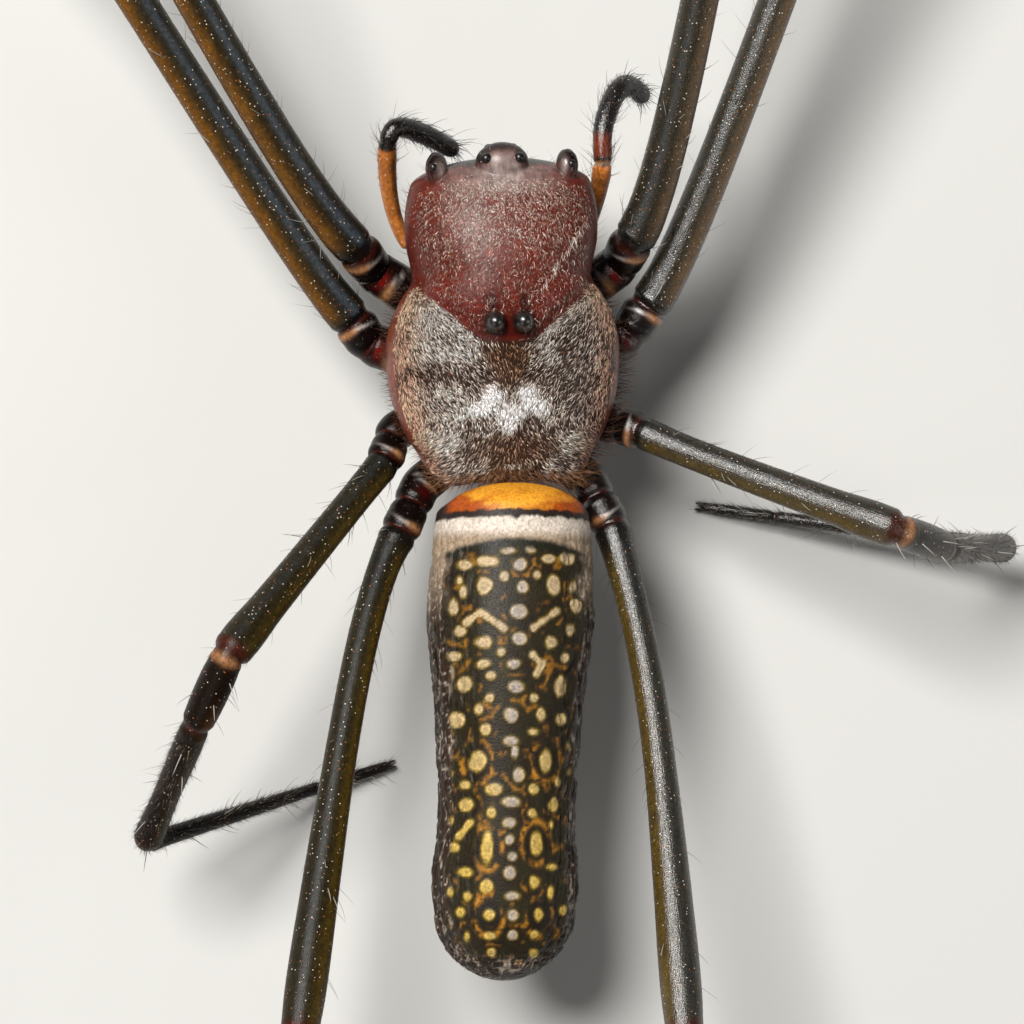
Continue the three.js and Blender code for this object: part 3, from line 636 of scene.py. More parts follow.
# How much silver hair stands at each place: it gathers in patches and behind the groove
def silverShare(points):
    x, y = points[:, 0], points[:, 1]
    back = behindGroove(x, y)
    # the band and the clumps give the left side more silver than the right: painted light on the side of the
    # key light
    band = np.exp(-((back - 0.4) / 0.3) ** 2) * ease(np.abs(x), 0.9, 1.5) * np.where(x > 0, 1.0, 0.45)
    streaky = points @ np.array([[1, 0, 0], [-0.35, 0.4, 0], [0, 0, 1]]) * (1, 1, 0.5)
    clumps = 0.16 * lumps(streaky, 0.34, 11) + 0.22 * lumps(streaky, 0.12, 13) + 0.1 * np.tanh(x / 1.5)
    white = 1.2 * patchField(whitePatches, x, y)
    brown = 0.35 * patchField(brownPatches, x, y) + 1.5 * patchField(darkPatches, x, y)
    share = 0.24 + 0.55 * (patchField(silverAndSheenPatches, x, y) + band) + clumps
    return np.clip(share + white - brown, 0.14, 1.5)


# Thorax hair stands behind the groove and above the rim, but not on the bald notch at the rear
def thoraxGrows(points):
    x, y = points[:, 0], points[:, 1]
    notch = 1 - 0.98 * np.exp(-(x / 0.8) ** 4 - ((y + 0.5) / 0.26) ** 4)
    return ease(behindGroove(x, y), -0.05, 0.25) * ease(carapaceLift(points), 0.3, 0.5) * notch


# How many hairs each piece of the coat has, and from how short to how long they are
thoraxHair = {"dark": 34000, "darkLength": (0.14, 0.28), "darkWidth": 0.02, "silver": 16500,
              "silverLength": (0.18, 0.36)}


# The thorax coat: one piece of short dark hair close to the skin, then two of silver hair, each
# hair with its own brightness so that dark gaps stay between them, and a few painted bright as
# painted glints
def buildThoraxCoat():
    def addPiece(name, root, out, unwrap, rng, tone, length, width, rise, rings):
        lie = thoraxLie(root) + rng.normal(0, 0.3, root.shape)
        shape = tuftShapes(root, out, lie, length, width, rise, 0.3,
                           rng.normal(0, 0.2, len(root)), tone, unwrap, rings=rings)
        makePiece(name, turnHead(shape[0]), shape[1], silverHair, (), shape[2],
                  shape[3])

    root, out, unwrap, rng = scatter(carapaceSurface, thoraxHair["dark"], thoraxGrows, 21,
                                     aroundRange=(0, np.pi))
    x, y = root[:, 0], root[:, 1]
    brown = np.clip(patchField(brownPatches, x, y), 0, 1)
    tone = blendTone(even(hairTones["dark"], root), hairTones["brown"], brown)
    tone = blendTone(tone, hairTones["fan"], brown * (rng.random(len(root)) > 0.6))
    white = np.clip(patchField(whitePatches, x, y), 0, 1)
    tone = blendTone(tone, hairTones["silver"], 0.75 * white)
    tone = tone * rng.uniform(0.6, 1.5, len(root))[:, None]
    addPiece("thorax_coat_dark", root, out, unwrap, rng, tone,
             rng.uniform(*thoraxHair["darkLength"], len(root)), thoraxHair["darkWidth"],
             rng.uniform(0.2, 0.45, len(root)), 1)

    for number, seed in enumerate((22, 23), 1):
        root, out, unwrap, rng = scatter(carapaceSurface, thoraxHair["silver"],
                                         lambda points: thoraxGrows(points) * silverShare(points) ** 1.6,
                                         seed, aroundRange=(0, np.pi))
        x, y = root[:, 0], root[:, 1]
        share = silverShare(root)
        pink = ease(carapaceLift(root), 0.85, 0.5)
        tone = blendTone(even(hairTones["silver"], root), hairTones["pink"], 0.85 * pink)
        white = np.clip(patchField(whitePatches, x, y), 0, 1)
        tone = blendTone(tone, hairTones["bright"], white)
        brown = np.clip(patchField(brownPatches, x, y), 0, 1) * (1 - white)
        tone = blendTone(tone, hairTones["fan"], 0.9 * brown)
        # the few hairs painted bright, as painted glints, are the widest and stand highest
        paintedGlint = rng.random(len(root)) ** 3.2
        own = (0.22 + 2.6 * paintedGlint) * (0.45 + 0.55 * np.minimum(share, 1)) + 1.2 * white
        addPiece(f"thorax_coat_silver_{number}", root, out, unwrap, rng, tone * own[:, None],
                 rng.uniform(*thoraxHair["silverLength"], len(root)),
                 0.019 + 0.013 * paintedGlint + 0.014 * white,
                 0.12 + 0.25 * rng.random(len(root)) + 0.3 * paintedGlint, 2)


# How thickly hair stands on the head: most in the middle field, little on the cheeks and in front
def headGrows(points):
    x, y = points[:, 0], points[:, 1]
    clumps = 0.6 + 0.4 * lumps(points, 0.5, 31)
    field = np.exp(-(np.abs(x) / 2.6) ** 5) * (0.35 + 0.65 * ease(y, -7.6, -9.2))
    seat = 1 - np.exp(-(x / 1.1) ** 4 - ((y + 5.9) / 0.75) ** 4)
    return (field * clumps * seat * ease(y, -11.55, -10.5) * ease(behindGroove(x, y), 0.05, -0.4)
            * ease(carapaceLift(points), 0.3, 0.6))


# A line of white hair runs from the right cheek back to the horns
whiteLine = {"from": (-3.2, -10.05), "to": (-1.15, -7.1), "width": 0.05, "count": 150}


# Distance from each place to the nearest point of the white line
def nearWhiteLine(points):
    start, end = np.array(whiteLine["from"]), np.array(whiteLine["to"])
    way = end - start
    offset = points[:, :2] - start
    t = np.clip(offset @ way / (way @ way), 0, 1)
    return np.linalg.norm(offset - t[:, None] * way, axis=1)


headHair = {"count": 33500, "length": (0.1, 0.24), "lineLength": (0.2, 0.45), "bentEvery": 8,
            "bentLonger": 1.35}


# The head's short pale and dim hairs, each with its own brightness, and the white line. The few
# bright ones, painted bright as painted glints, are the widest.
def buildHeadCoat():
    root, out, unwrap, rng = scatter(carapaceSurface, headHair["count"], headGrows, 41,
                                     aroundRange=(0, np.pi))
    lineRoot, lineOut, lineUnwrap, _ = scatter(
        carapaceSurface, whiteLine["count"],
        lambda points: (np.exp(-(nearWhiteLine(points) / whiteLine["width"]) ** 2)
                        * ease(carapaceLift(points), 0.4, 0.8)),
        42, aroundRange=(0, np.pi), pool=400)
    root, out = np.concatenate([root, lineRoot]), np.concatenate([out, lineOut])
    unwrap = np.concatenate([unwrap, lineUnwrap])
    count = len(root)
    onLine = np.arange(count) >= count - len(lineRoot)
    lie = np.stack([rng.normal(0, 0.6, count) + 0.8 * lumps(root, 0.6, 43), np.ones(count),
                    np.zeros(count)], 1)
    middle = np.exp(-((root[:, 0] - 0.2) / 2.0) ** 2) * ease(root[:, 1], -8.2, -9.4)
    pale = np.clip(0.35 + 0.5 * middle + 0.5 * onLine, 0, 1)
    tone = blendTone(even(hairTones["headDim"], root), hairTones["headHair"],
                     (rng.random(count) < pale).astype(float))
    # a few hairs are painted much brighter than the rest: painted glints
    paintedGlint = rng.random(count) ** 2.2
    tone = tone * ((0.35 + 1.7 * paintedGlint) * (0.65 + 0.35 * middle) + 0.5 * onLine)[:, None]
    width = 0.022 + 0.014 * paintedGlint
    rise = rng.uniform(0.1, 0.8, count)
    curl = rng.normal(0, 0.3, count)
    length = np.where(onLine, rng.uniform(*headHair["lineLength"], count),
                      rng.uniform(*headHair["length"], count))
    # most hairs are short and straight; every eighth and the whole line are longer and bent
    bent = onLine | (np.arange(count) % headHair["bentEvery"] == 0)
    length = length * np.where(bent & ~onLine, headHair["bentLonger"], 1)
    parts = []
    for chosen, rings in ((~bent, 1), (bent, 3)):
        parts.append(tuftShapes(root[chosen], out[chosen], lie[chosen], length[chosen], width[chosen],
                                rise[chosen], 0.4, curl[chosen], tone[chosen], unwrap[chosen],
                                rings=rings))
    points, faces = joinShapes([part[:2] for part in parts])
    makePiece("head_coat", turnHead(points), faces, silverHair, (),
              np.concatenate([part[2] for part in parts]), np.concatenate([part[3] for part in parts]))


fringeHair = {"count": 2000, "length": (0.25, 0.5), "width": 0.024, "moundWidth": 0.02}


# Fine hairs that stand out all round the rim of the carapace, longest at the rear right and paler
# along the rear edge, and a stubble that leans forwards over the rim of the eye mound
def buildFringe():
    # thick along the rim, over the front of the eye mound and across the rear edge
    def grows(points):
        y, z = points[:, 1], points[:, 2]
        rim = np.exp(-((z - carapaceEdge(y)) / 0.35) ** 2) * (0.15 + 0.85 * ease(y, -8.6, -7.2))
        moundRim = 1.6 * np.exp(-(points[:, 0] / 1.1) ** 4 - ((y + 12.75) / 0.3) ** 4) * (z > 10.9)
        rearRim = 1.6 * ease(y, -0.75, -0.45) * ease(z, 8.6, 9.2)
        return rim + moundRim + rearRim

    root, out, unwrap, rng = scatter(carapaceSurface, fringeHair["count"], grows, 51)
    count = len(root)
    mound = root[:, 1] < -12.3
    lie = np.stack([root[:, 0], 0.5 * (root[:, 1] + 4.0), np.full(count, 0.6)], 1)
    lie = unit(lie) + rng.normal(0, 0.25, root.shape)
    rearEdge = ease(root[:, 1], -1.2, -0.5)
    tone = blendTone(even(hairTones["fringe"], root), hairTones["fan"], 0.4 * rearEdge)
    tone = tone * rng.uniform(0.4, 2.0, count)[:, None]
    rearRight = ease(-root[:, 0], 1.0, 3.0) * ease(root[:, 1], -6.5, -4)
    length = rng.uniform(*fringeHair["length"], count) * (1 + 0.9 * rearRight) * np.where(mound, 0.4, 1)
    width = np.where(mound, fringeHair["moundWidth"], fringeHair["width"])
    shape = tuftShapes(root, out, lie, length, width,
                       rng.uniform(0.5, 1.5, count), rng.uniform(0, 0.4, count),
                       rng.normal(0, 0.15, count), tone, unwrap, rings=3)
    makePiece("carapace_fringe", turnHead(shape[0]), shape[1], darkHair, (),
              shape[2], shape[3])


eyes = {
    "front_middle": {"place": (0.45, -12.66, 10.94), "radius": 0.2},
    "rear_middle": {"place": (0.62, -12.22, 11.8), "radius": 0.21},
    "front_side": {"place": (2.5, -12.42, 11.05), "radius": 0.17},
    "rear_side": {"place": (2.6, -11.98, 11.44), "radius": 0.17},
}
horn = {"radius": 0.38, "height": 0.75, "sunk": 0.4, "bluntness": 5}


# Eyes are small balls. A horn's radius is the root of 1 less its share of height to the power of
# its bluntness, so that it stays thick and ends in a dome.
def buildEyesAndHorns():
    black = linear("#080505")
    for side, sideName in ((1, "left"), (-1, "right")):
        for name, eye in eyes.items():
            place = np.array(eye["place"]) * (side, 1, 1)
            points, faces = ellipsoid(place, (eye["radius"],) * 3)
            makePiece(f"eye_lens_{name}_{sideName}", turnHead(points), faces, lensFinish,
                      [f"eye_{name}_{sideName}"], even(black, points))
        share = np.linspace(0, 1, 30)
        bulge = 1 + 0.08 * np.exp(-((share - 0.35) / 0.15) ** 2)
        radii = horn["radius"] * np.sqrt(np.maximum(1 - share ** horn["bluntness"], 0.002)) * bulge
        foot = float(carapaceTop(hornSpot[1])) - horn["sunk"]
        tall = horn["sunk"] + horn["height"]
        line = np.stack([np.full(30, side * hornSpot[0]), np.full(30, hornSpot[1]),
                         foot + tall * share], 1)
        points, faces = tubeShape(line, radii, 32, reference=(0, 1, 0))
        makePiece(f"horn_cone_{sideName}", turnHead(points), faces, hornFinish,
                  [f"horn_{sideName}"], even(black * 1.6, points))


# Abdomen

abdomen = {
    "front": 0.1, "rear": 18.62, "coatDepth": 0.03,
    "width": [(0, 2.72), (1.5, 2.98), (3.5, 3.15), (5.2, 3.2), (7.6, 2.93), (9.5, 2.78), (11.8, 2.66),
              (13.2, 2.7), (14.5, 2.84), (16, 2.76), (18.7, 2.6)],
    "top": [(0, 11.05), (2, 11.35), (5, 11.7), (8, 11.6), (11, 11.35), (14, 11.1), (17, 10.7),
            (18.7, 10.4)],
    "under": [(0, 5.3), (3, 4.9), (8, 4.75), (12, 4.8), (16, 5.2), (18.7, 5.8)],
    "brow": {"reach": 0.5, "low": 8.8, "high": 10, "fade": 1.2},
    "shift": (-0.2, 0.019),
}
abdomenWidth = through(abdomen["width"])
abdomenTop = through(abdomen["top"])
abdomenUnder = through(abdomen["under"])


# How far the abdomen's middle line lies to the left of the waist's
def abdomenShift(y):
    start, slope = abdomen["shift"]
    return start + slope * y


# The pale spots as they were read off the picture, in pixels: how far right and down the middle of
# each lies, its width and its length. First those along the middle, then those beside them.
spotPixels = [
    (520, 565, 15, 13), (523, 587, 12, 13), (519, 612, 18, 15), (520, 639, 15, 12),
    (514, 664, 14, 9), (516, 687, 17, 11), (511, 715, 16, 15), (511, 741, 15, 9),
    (515, 752, 7, 12), (519, 775, 13, 15), (512, 802, 19, 10), (510, 823, 13, 9),
    (510, 840, 9, 10), (512.5, 856, 9, 9), (509, 873, 13, 13), (512, 896, 16, 9),
    (513, 915, 12, 13), (513, 935, 11, 10),
    (509.5, 550, 15, 8), (531, 549, 12, 10), (487.5, 561, 22, 11), (548, 559, 15, 9),
    (465, 565, 16, 10), (567, 558, 18, 15), (505, 576, 9, 9), (537, 575, 9, 10),
    (484.5, 586, 16, 19), (553.5, 585, 15, 22), (460, 579, 7, 10), (463, 592, 8, 13),
    (573, 587, 8, 12), (454, 606, 9, 18), (576, 606, 15, 16), (461, 631, 11, 12),
    (484, 642, 18, 12), (551, 642, 14, 13), (570, 629, 10, 12), (501, 652, 10, 9),
    (455, 656, 15, 9), (484.5, 664, 15, 9), (565, 658, 10, 9), (491, 676, 11, 9), (449, 669, 9, 8),
    (465, 684, 16, 15), (560, 686, 14, 22), (490, 698, 10, 10), (479, 709, 10, 11),
    (535, 698, 9, 9), (457, 720, 16, 16), (541, 714, 10, 15), (561, 719, 12, 12),
    (485, 730, 12, 12), (533, 732, 13, 8), (478, 762, 18, 22), (546, 761, 13, 24),
    (465, 785, 10, 9), (494, 789, 19, 11), (534, 789, 11, 11), (467, 805, 15, 15),
    (554, 804, 12, 14), (491, 813, 10, 11), (532, 813, 10, 10), (487, 848, 12, 33),
    (536, 843, 13, 25), (454, 848, 11, 9), (465, 872, 15, 10), (553, 867, 13, 7),
    (535, 882, 12, 14), (486, 887, 14, 14), (468, 897, 10, 10), (551, 894, 7, 14),
    (489, 915, 12, 12), (539, 915, 11, 12), (460, 913, 10, 11), (564, 911, 8, 9),
    (489, 936, 14, 8), (534, 935, 10, 9), (467, 936, 7, 12), (491, 953, 11, 10),
    (534, 953, 11, 10), (447, 742, 7, 9), (449, 774, 7, 9), (447, 792, 7, 9), (450, 821, 7, 9),
    (450, 892, 7, 9), (448, 929, 7, 9), (569, 747, 7, 9), (570, 770, 7, 9), (558, 782, 7, 9),
    (551, 825, 7, 9),
]
# The two ends of each bar between the spots, and the six large spots that carry a dark ring and an
# orange ring round it, in the same pixels
barPixels = [
    ((466, 623), (480, 612)), ((480, 612), (504, 628)), ((534, 628), (556, 611)),
    ((533, 655), (542, 664)), ((542, 664), (537, 674)), ((459, 836), (470, 823)),
]
ringedPixels = [(478, 762), (546, 761), (487, 848), (536, 843), (489, 915), (539, 915)]
backPixelsPerMm = 26.8
barWidth = 0.29
spotScale = 0.97


# Height of the back at a place, from the curves that the abdomen's rings follow
def backHeight(x, y):
    ends = roundEnd(y - abdomen["front"], 1.5) * roundEnd(abdomen["rear"] - y, 2.6)
    share = np.clip(np.abs(x) / (abdomenWidth(y) * ends), 0, 1) ** (1 / 0.92)
    middle = (abdomenTop(y) + abdomenUnder(y)) / 2
    half = (abdomenTop(y) - abdomenUnder(y)) / 2
    return middle + half * ends * np.sqrt(1 - share * share) ** 0.95


# Distances from the waist and to the left of the places on the back that some pixels show, to a
# hundredth of a millimetre. Each pixel's line of sight is cut at a height that moves half way to
# the back's own height there, twenty times over.
def onBack(pixels):
    right, up, back, eye = cameraFrame()
    focal = camera["pixelsPerMm"] * camera["distance"]
    offset = (np.array(pixels, float) - camera["pictureWidth"] / 2) / focal
    sight = right * offset[:, :1] - up * offset[:, 1:] - back
    z = np.full(len(sight), 11.0)
    for _ in range(20):
        place = eye + sight * ((z - eye[2]) / sight[:, 2])[:, None]
        z = (z + backHeight(place[:, 0], place[:, 1])) / 2
    return np.round(place[:, [1, 0]], 2)


spotSizes = np.round(np.array(spotPixels)[:, 2:] / backPixelsPerMm, 2)
spots = np.concatenate([onBack([row[:2] for row in spotPixels]), spotSizes], axis=1)
bars = np.concatenate([onBack([ends[k] for ends in barPixels]) for k in (0, 1)], axis=1)
ringed = onBack(ringedPixels)

abdomenTones = tones(orange="#dc9628", deepOrange="#9c460c", redBrown="#4a1c0c", fuzzy="#241a16",
                     white="#d0c3b6", whiteShade="#9a8670", arc="#1a190e", ground="#20170b",
                     olive="#26230c", rim="#6a560c", burnt="#a87220", creamFront="#b29c78",
                     creamRear="#bb9d4c", silver="#9d938c", flank="#281a10", fleck="#b8aa9a",
                     belly="#33281c", bellyPale="#b8953a", spinneret="#4a3826")


# Signed distance to the nearest spot's edge and to the second nearest, for places on the back
def nearestSpot(x, y):
    best = np.full(len(x), 9.0)
    second = np.full(len(x), 9.0)
    for spotY, spotX, width, length in spots:
        a, b = width / 2 * spotScale, length / 2 * spotScale
        away = np.sqrt(((x - spotX) / a) ** 2 + ((y - spotY) / b) ** 2) - 1
        away = away * min(a, b)
        second = np.minimum(second, np.maximum(best, away))
        best = np.minimum(best, away)
    for y1, x1, y2, x2 in bars:
        square = (x2 - x1) ** 2 + (y2 - y1) ** 2
        t = np.clip(((x - x1) * (x2 - x1) + (y - y1) * (y2 - y1)) / square, 0, 1)
        half = barWidth / 2 * (0.86 + 0.22 * (2 * t - 1) ** 2 + 0.12 * np.sin(5 * x1 + 3 * t))
        away = np.hypot(x - x1 - t * (x2 - x1), y - y1 - t * (y2 - y1)) - half
        second = np.minimum(second, np.maximum(best, away))
        best = np.minimum(best, away)
    return best, second


# Sharp creases: 1 along the lines where lumpy noise drawn out along the body passes through zero
def creases(points, size, stretch, seed):
    return 1 - np.minimum(np.abs(lumps(points * (1, 1 / stretch, 1), size, seed)) * 2.2, 1)


# Abdomen: rings between the curves, rounded at both ends, with the upper front bulging forwards,
# crumpled folds along the flanks, wrinkles across the rear and spots that stand out a little
def abdomenSurface(along, around):
    y = abdomen["front"] + (abdomen["rear"] - abdomen["front"]) * (1 - np.cos(np.pi * along)) / 2
    ends = roundEnd(y - abdomen["front"], 0.9) * roundEnd(abdomen["rear"] - y, 2.6)
    depth = abdomen["coatDepth"]
    rise = np.sin(around)
    middle = (abdomenTop(y) + abdomenUnder(y)) / 2
    half = (abdomenTop(y) - abdomenUnder(y)) / 2 - depth
    across = signedPower(np.cos(around), 0.92)
    x = (abdomenWidth(y) - depth) * ends * across
    z = middle + half * ends * signedPower(rise, 0.95)
    rough = np.stack([x, y, z], axis=1)
    flank = ease(rise, 0.94, 0.72) * ease(y, 1.3, 2.8) * ends
    rear = ease(y, 16.6, 18.0)
    fold = 0.1 * flank * creases(rough, 0.42, 3.0, 6) + 0.07 * flank * creases(rough, 0.2, 2.0, 7)
    fold = fold + 0.06 * rear * creases(rough * (0.5, 1, 1), 0.3, 0.6, 8)
    x = x - (fold - 0.01) * across
    z = z - (fold - 0.01) * rise
    brow = abdomen["brow"]
    fading = np.exp((abdomen["front"] - y) / brow["fade"])
    forwards = brow["reach"] * ease(z, brow["low"], brow["high"]) * fading
    return np.stack([x + abdomenShift(y), y - forwards, z], axis=1)


# The pattern of the back from front to rear: orange band, dark line, white band, dark arc, then pale
# spots with olive rims on dark ground; crumpled dark flanks and a darker belly with yellow spots
def abdomenTone(points):
    x, y, z = points.T
    own = x - abdomenShift(y)
    tall = (z - abdomenUnder(y)) / (abdomenTop(y) - abdomenUnder(y))
    best, second = nearestSpot(x, y)
    best = best + 0.05 * lumps(points, 0.31, 61) + 0.015 * lumps(points, 0.1, 69)
    fine = lumps(points, 0.1, 62)
    blotch = lumps(points, 0.45, 63)
    tone = blendTone(even(abdomenTones["ground"], points), abdomenTones["olive"],
                     np.clip(0.3 + 0.5 * blotch + 0.3 * fine, 0, 1))
    # short orange dashes half way between neighbouring spots
    dashes = ease(lumps(points, 0.42, 64), 0.1, 0.45)
    dotted = ease(lumps(points, 0.13, 58), -0.8, 0.3)
    web = np.exp(-((second - best) / 0.12) ** 2) * dashes * dotted
    tone = blendTone(tone, abdomenTones["burnt"], np.clip(0.6 * web, 0, 1))
    for ringY, ringX in ringed:
        away = np.hypot(x - ringX, (y - ringY) / 1.45)
        ring = np.exp(-((away - 0.56) / 0.08) ** 2) * ease(lumps(points, 0.5, 65), -0.1, 0.3) * dotted
        tone = blendTone(tone, abdomenTones["ground"] * 0.6, np.exp(-(away / 0.45) ** 6))
        tone = blendTone(tone, abdomenTones["burnt"], np.clip(0.9 * ring, 0, 1))
    rim = np.exp(-((best + 0.005) / 0.035) ** 2)
    tone = blendTone(tone, abdomenTones["rim"], np.clip(0.8 * rim, 0, 1))
    cream = blendTone(abdomenTones["creamFront"], abdomenTones["creamRear"], ease(y, 5, 15))
    cream = blendTone(cream, abdomenTones["silver"], 0.9 * np.exp(-(own / 0.45) ** 2))
    cream = cream * (0.86 + 0.3 * ease(best, -0.13, -0.05) + 0.2 * fine)[:, None]
    tone = blendTone(tone, cream, ease(best, 0.01, -0.07))
    # flanks: dark crumpled skin with painted silver glints along its ridges, paler towards the front
    flat = points - abdomenShift(y)[:, None] * (1, 0, 0)
    ridge = np.maximum(creases(flat, 0.42, 3.0, 6), creases(flat, 0.2, 2.0, 7))
    paintedRidgeGlint = ease(ridge, 0.72, 0.98) * ease(blotch + fine, -0.8, 0.4)
    strands = 1 + 0.18 * lumps(points * (1, 0.4, 0.5), 0.06, 59) + 0.12 * fine
    side = abdomenTones["flank"] * (1 + 0.5 * blotch[:, None])
    side = blendTone(side, abdomenTones["whiteShade"] * strands[:, None], 0.85 * ease(y, 5.5, 2.4))
    side = blendTone(side, abdomenTones["fleck"], 0.8 * paintedRidgeGlint)
    fleck = ease(lumps(points * (1, 0.5, 1), 0.2, 57), 0.35, 0.5) * np.exp(-((tall - 0.86) / 0.05) ** 2)
    side = blendTone(side, abdomenTones["creamFront"] * (1, 0.75, 0.6), 0.7 * fleck)
    edge = tall + 0.05 * lumps(points, 0.5, 60)
    tone = blendTone(tone, side, ease(edge, 0.83, 0.74))
    yellow = ease(lumps(points, 0.55, 67), 0.35, 0.5)
    belly = blendTone(abdomenTones["belly"], abdomenTones["bellyPale"], 0.6 * yellow)
    tone = blendTone(tone, belly, ease(tall, 0.34, 0.2))
    tone = blendTone(tone, side, ease(y, 17.5, 18.0))
    # bands across the front, each laid over the one behind it
    wavy = y + 0.05 * lumps(points, 0.3, 68) + 0.03 * fine
    upper = ease(tall, 0.3, 0.5)
    outer = np.abs(own)
    arcEnd = 2.5 + 0.12 * outer
    arc = ease(wavy, arcEnd, arcEnd - 0.25) * upper * ease(outer, 3, 2.4)
    tone = blendTone(tone, abdomenTones["arc"], arc)
    fadeBack = 2.0 + 0.08 * outer ** 2
    whiteTone = blendTone(abdomenTones["white"], abdomenTones["whiteShade"], ease(wavy, 1.55, 2.05))
    tone = blendTone(tone, whiteTone * strands[:, None], ease(wavy, fadeBack + 0.1, fadeBack - 0.12) * upper)
    notch = 0.12 * np.exp(-((x + 0.12) / 0.16) ** 2)
    line = 0.88 + 0.045 * outer
    tone = blendTone(tone, abdomenTones["fuzzy"],
                     ease(wavy, line + 0.32 + notch, line + 0.2 + notch) * upper)
    swirl = lumps(points * (0.6, 1.6, 1) + 0.2 * np.sin(3 * x)[:, None], 0.3, 56)
    deep = (ease(outer, 1.1, 2.3) + ease(wavy, line - 0.55, line - 0.02) * ease(outer, 0.1, 1.3)
            + 0.4 * blotch + 0.4 * swirl)
    orange = blendTone(abdomenTones["orange"], abdomenTones["deepOrange"], np.clip(deep, 0, 1))
    orange = blendTone(orange, abdomenTones["redBrown"], ease(z + 0.2 * blotch, 10.0, 9.3))
    return blendTone(tone, orange, ease(wavy, line + 0.03, line - 0.06) * upper * ease(outer, 2.75, 2.5))


abdomenMesh = {"rings": 330, "sides": 280, "crowd": 0.5}
spinnerets = [
    {"y": 15.2, "x": 0.62, "length": 1.1, "radius": 0.42, "lean": 0.15},
    {"y": 15.85, "x": 0.25, "length": 0.8, "radius": 0.25, "lean": 0.3},
    {"y": 16.5, "x": 0.6, "length": 1.0, "radius": 0.38, "lean": 0.5},
]


# Spinnerets are ringed cones whose radius shrinks with the square of the way to the tip
def buildAbdomen():
    points, faces = closedShell(abdomenSurface, **abdomenMesh)
    tone = abdomenTone(points)
    best, _ = nearestSpot(points[:, 0], points[:, 1])
    lift = 0.03 * ease(best, 0.05, -0.08) * ease(points[:, 2], 8.5, 10) * ease(points[:, 1], 2.2, 2.5)
    shapes = [(points + lift[:, None] * (0, 0, 1), faces)]
    toneParts = [tone]
    for row in spinnerets:
        for side in (1, -1):
            t = np.linspace(0, 1, 24)
            middle = abdomenShift(row["y"])
            start = np.array([middle + side * row["x"], row["y"], 5.7])
            end = np.array([middle + side * row["x"] * 0.8, row["y"] + row["lean"], 5.0 - row["length"]])
            ringing = 1 + 0.04 * np.sin(40 * t)
            radii = row["radius"] * (1 - 0.55 * t ** 2) * ringing * roundEnd(1.02 - t, 0.12)
            part = tubeShape(start + (end - start) * t[:, None], radii, 24, reference=(0, 1, 0))
            shapes.append(part)
            toneParts.append(even(abdomenTones["spinneret"], part[0]))
    points, faces = joinShapes(shapes)
    makePiece("abdomen_skin_whole", points, faces, abdomenFinish, ["abdomen"],
              np.concatenate(toneParts))
    print("abdomen skin", len(points), "points")


abdomenHair = {"count": 42000, "length": (0.08, 0.2), "width": 0.013, "paleShare": 0.2}


# Short fine hairs over the abdomen, pale over the spots and the white band, dark elsewhere
def buildAbdomenCoat():
    # thicker above than below, and thickest over the white band
    def grows(points):
        white = np.exp(-((points[:, 1] - 1.55) / 0.6) ** 4)
        return (0.25 + 0.6 * ease(points[:, 2], 7.5, 9.5)) * (1 + 2.5 * white)

    root, out, unwrap, rng = scatter(abdomenSurface, abdomenHair["count"], grows, 71)
    count = len(root)
    lie = np.stack([rng.normal(0, 0.3, count), np.ones(count), rng.normal(0, 0.2, count)], 1)
    tone = abdomenTone(root)
    pale = rng.random(count) < abdomenHair["paleShare"]
    tone = np.where(pale[:, None], np.minimum(tone * 1.2 + 0.008, 1), tone * 0.75)
    length = rng.uniform(*abdomenHair["length"], count)
    shape = tuftShapes(root, out, lie, length, abdomenHair["width"],
                       rng.uniform(0.15, 0.5, count), 0.2, rng.normal(0, 0.25, count), tone, unwrap,
                       rings=1)
    makePiece("abdomen_coat", shape[0], shape[1], silverHair, (), shape[2], shape[3])


# Underside, jaws and waist

undersideTones = tones(sternum="#3a1a10", pale="#8a6a2c", pedicel="#5b2a16")
sternumWidth = through([(-8.4, 1.4), (-7, 2.0), (-5, 2.2), (-3, 2.0), (-1.3, 1.2)])


# Sternum: a flat shield of superellipse rings whose width follows the curve
def sternumSurface(along, around):
    y = -8.4 + 7.1 * (1 - np.cos(np.pi * along)) / 2
    ends = roundEnd(y + 8.4, 0.9) * roundEnd(-1.3 - y, 0.8)
    x = sternumWidth(y) * ends * signedPower(np.cos(around), 0.8)
    return np.stack([x, y, 6.1 + 1.05 * ends * signedPower(np.sin(around), 0.8)], 1)


# The sternum with the labium and the two endites before it, and the pedicel: a short tube that is
# narrower half way by a half sine
def buildUnderside():
    shapes = [closedShell(sternumSurface, 60, 60), ellipsoid((0, -8.4, 5.3), (0.6, 0.8, 0.4))]
    shapes += [ellipsoid((side * 0.95, -8.7, 5.9), (0.78, 1.0, 0.85)) for side in (1, -1)]
    points, faces = joinShapes(shapes)
    pale = ease(points[:, 2], 5.6, 5.0) * ease(np.abs(points[:, 0]), 0.9, 0.3) * ease(points[:, 1], -8, -7)
    tone = blendTone(undersideTones["sternum"], undersideTones["pale"], 0.6 * pale)
    makePiece("sternum_skin", turnHead(points), faces, carapaceFinish, ["sternum"],
              tone)
    t = np.linspace(0, 1, 20)[:, None]
    line = np.array([0, -1.0, 6.7]) + t * np.array([0, 1.1, 0.17])
    points, faces = tubeShape(line, 0.46 * (1 - 0.12 * np.sin(np.pi * t[:, 0])), 32)
    makePiece("pedicel_skin", points, faces, membraneFinish, ["pedicel"],
              even(undersideTones["pedicel"], points))


# Points of a quadratic curve through its start, pulled by its middle handle, to its end
def bend(start, middle, end, count):
    t = np.linspace(0, 1, count)[:, None]
    return (np.array(start) * (1 - t) ** 2 + np.array(middle) * 2 * t * (1 - t) + np.array(end) * t * t)


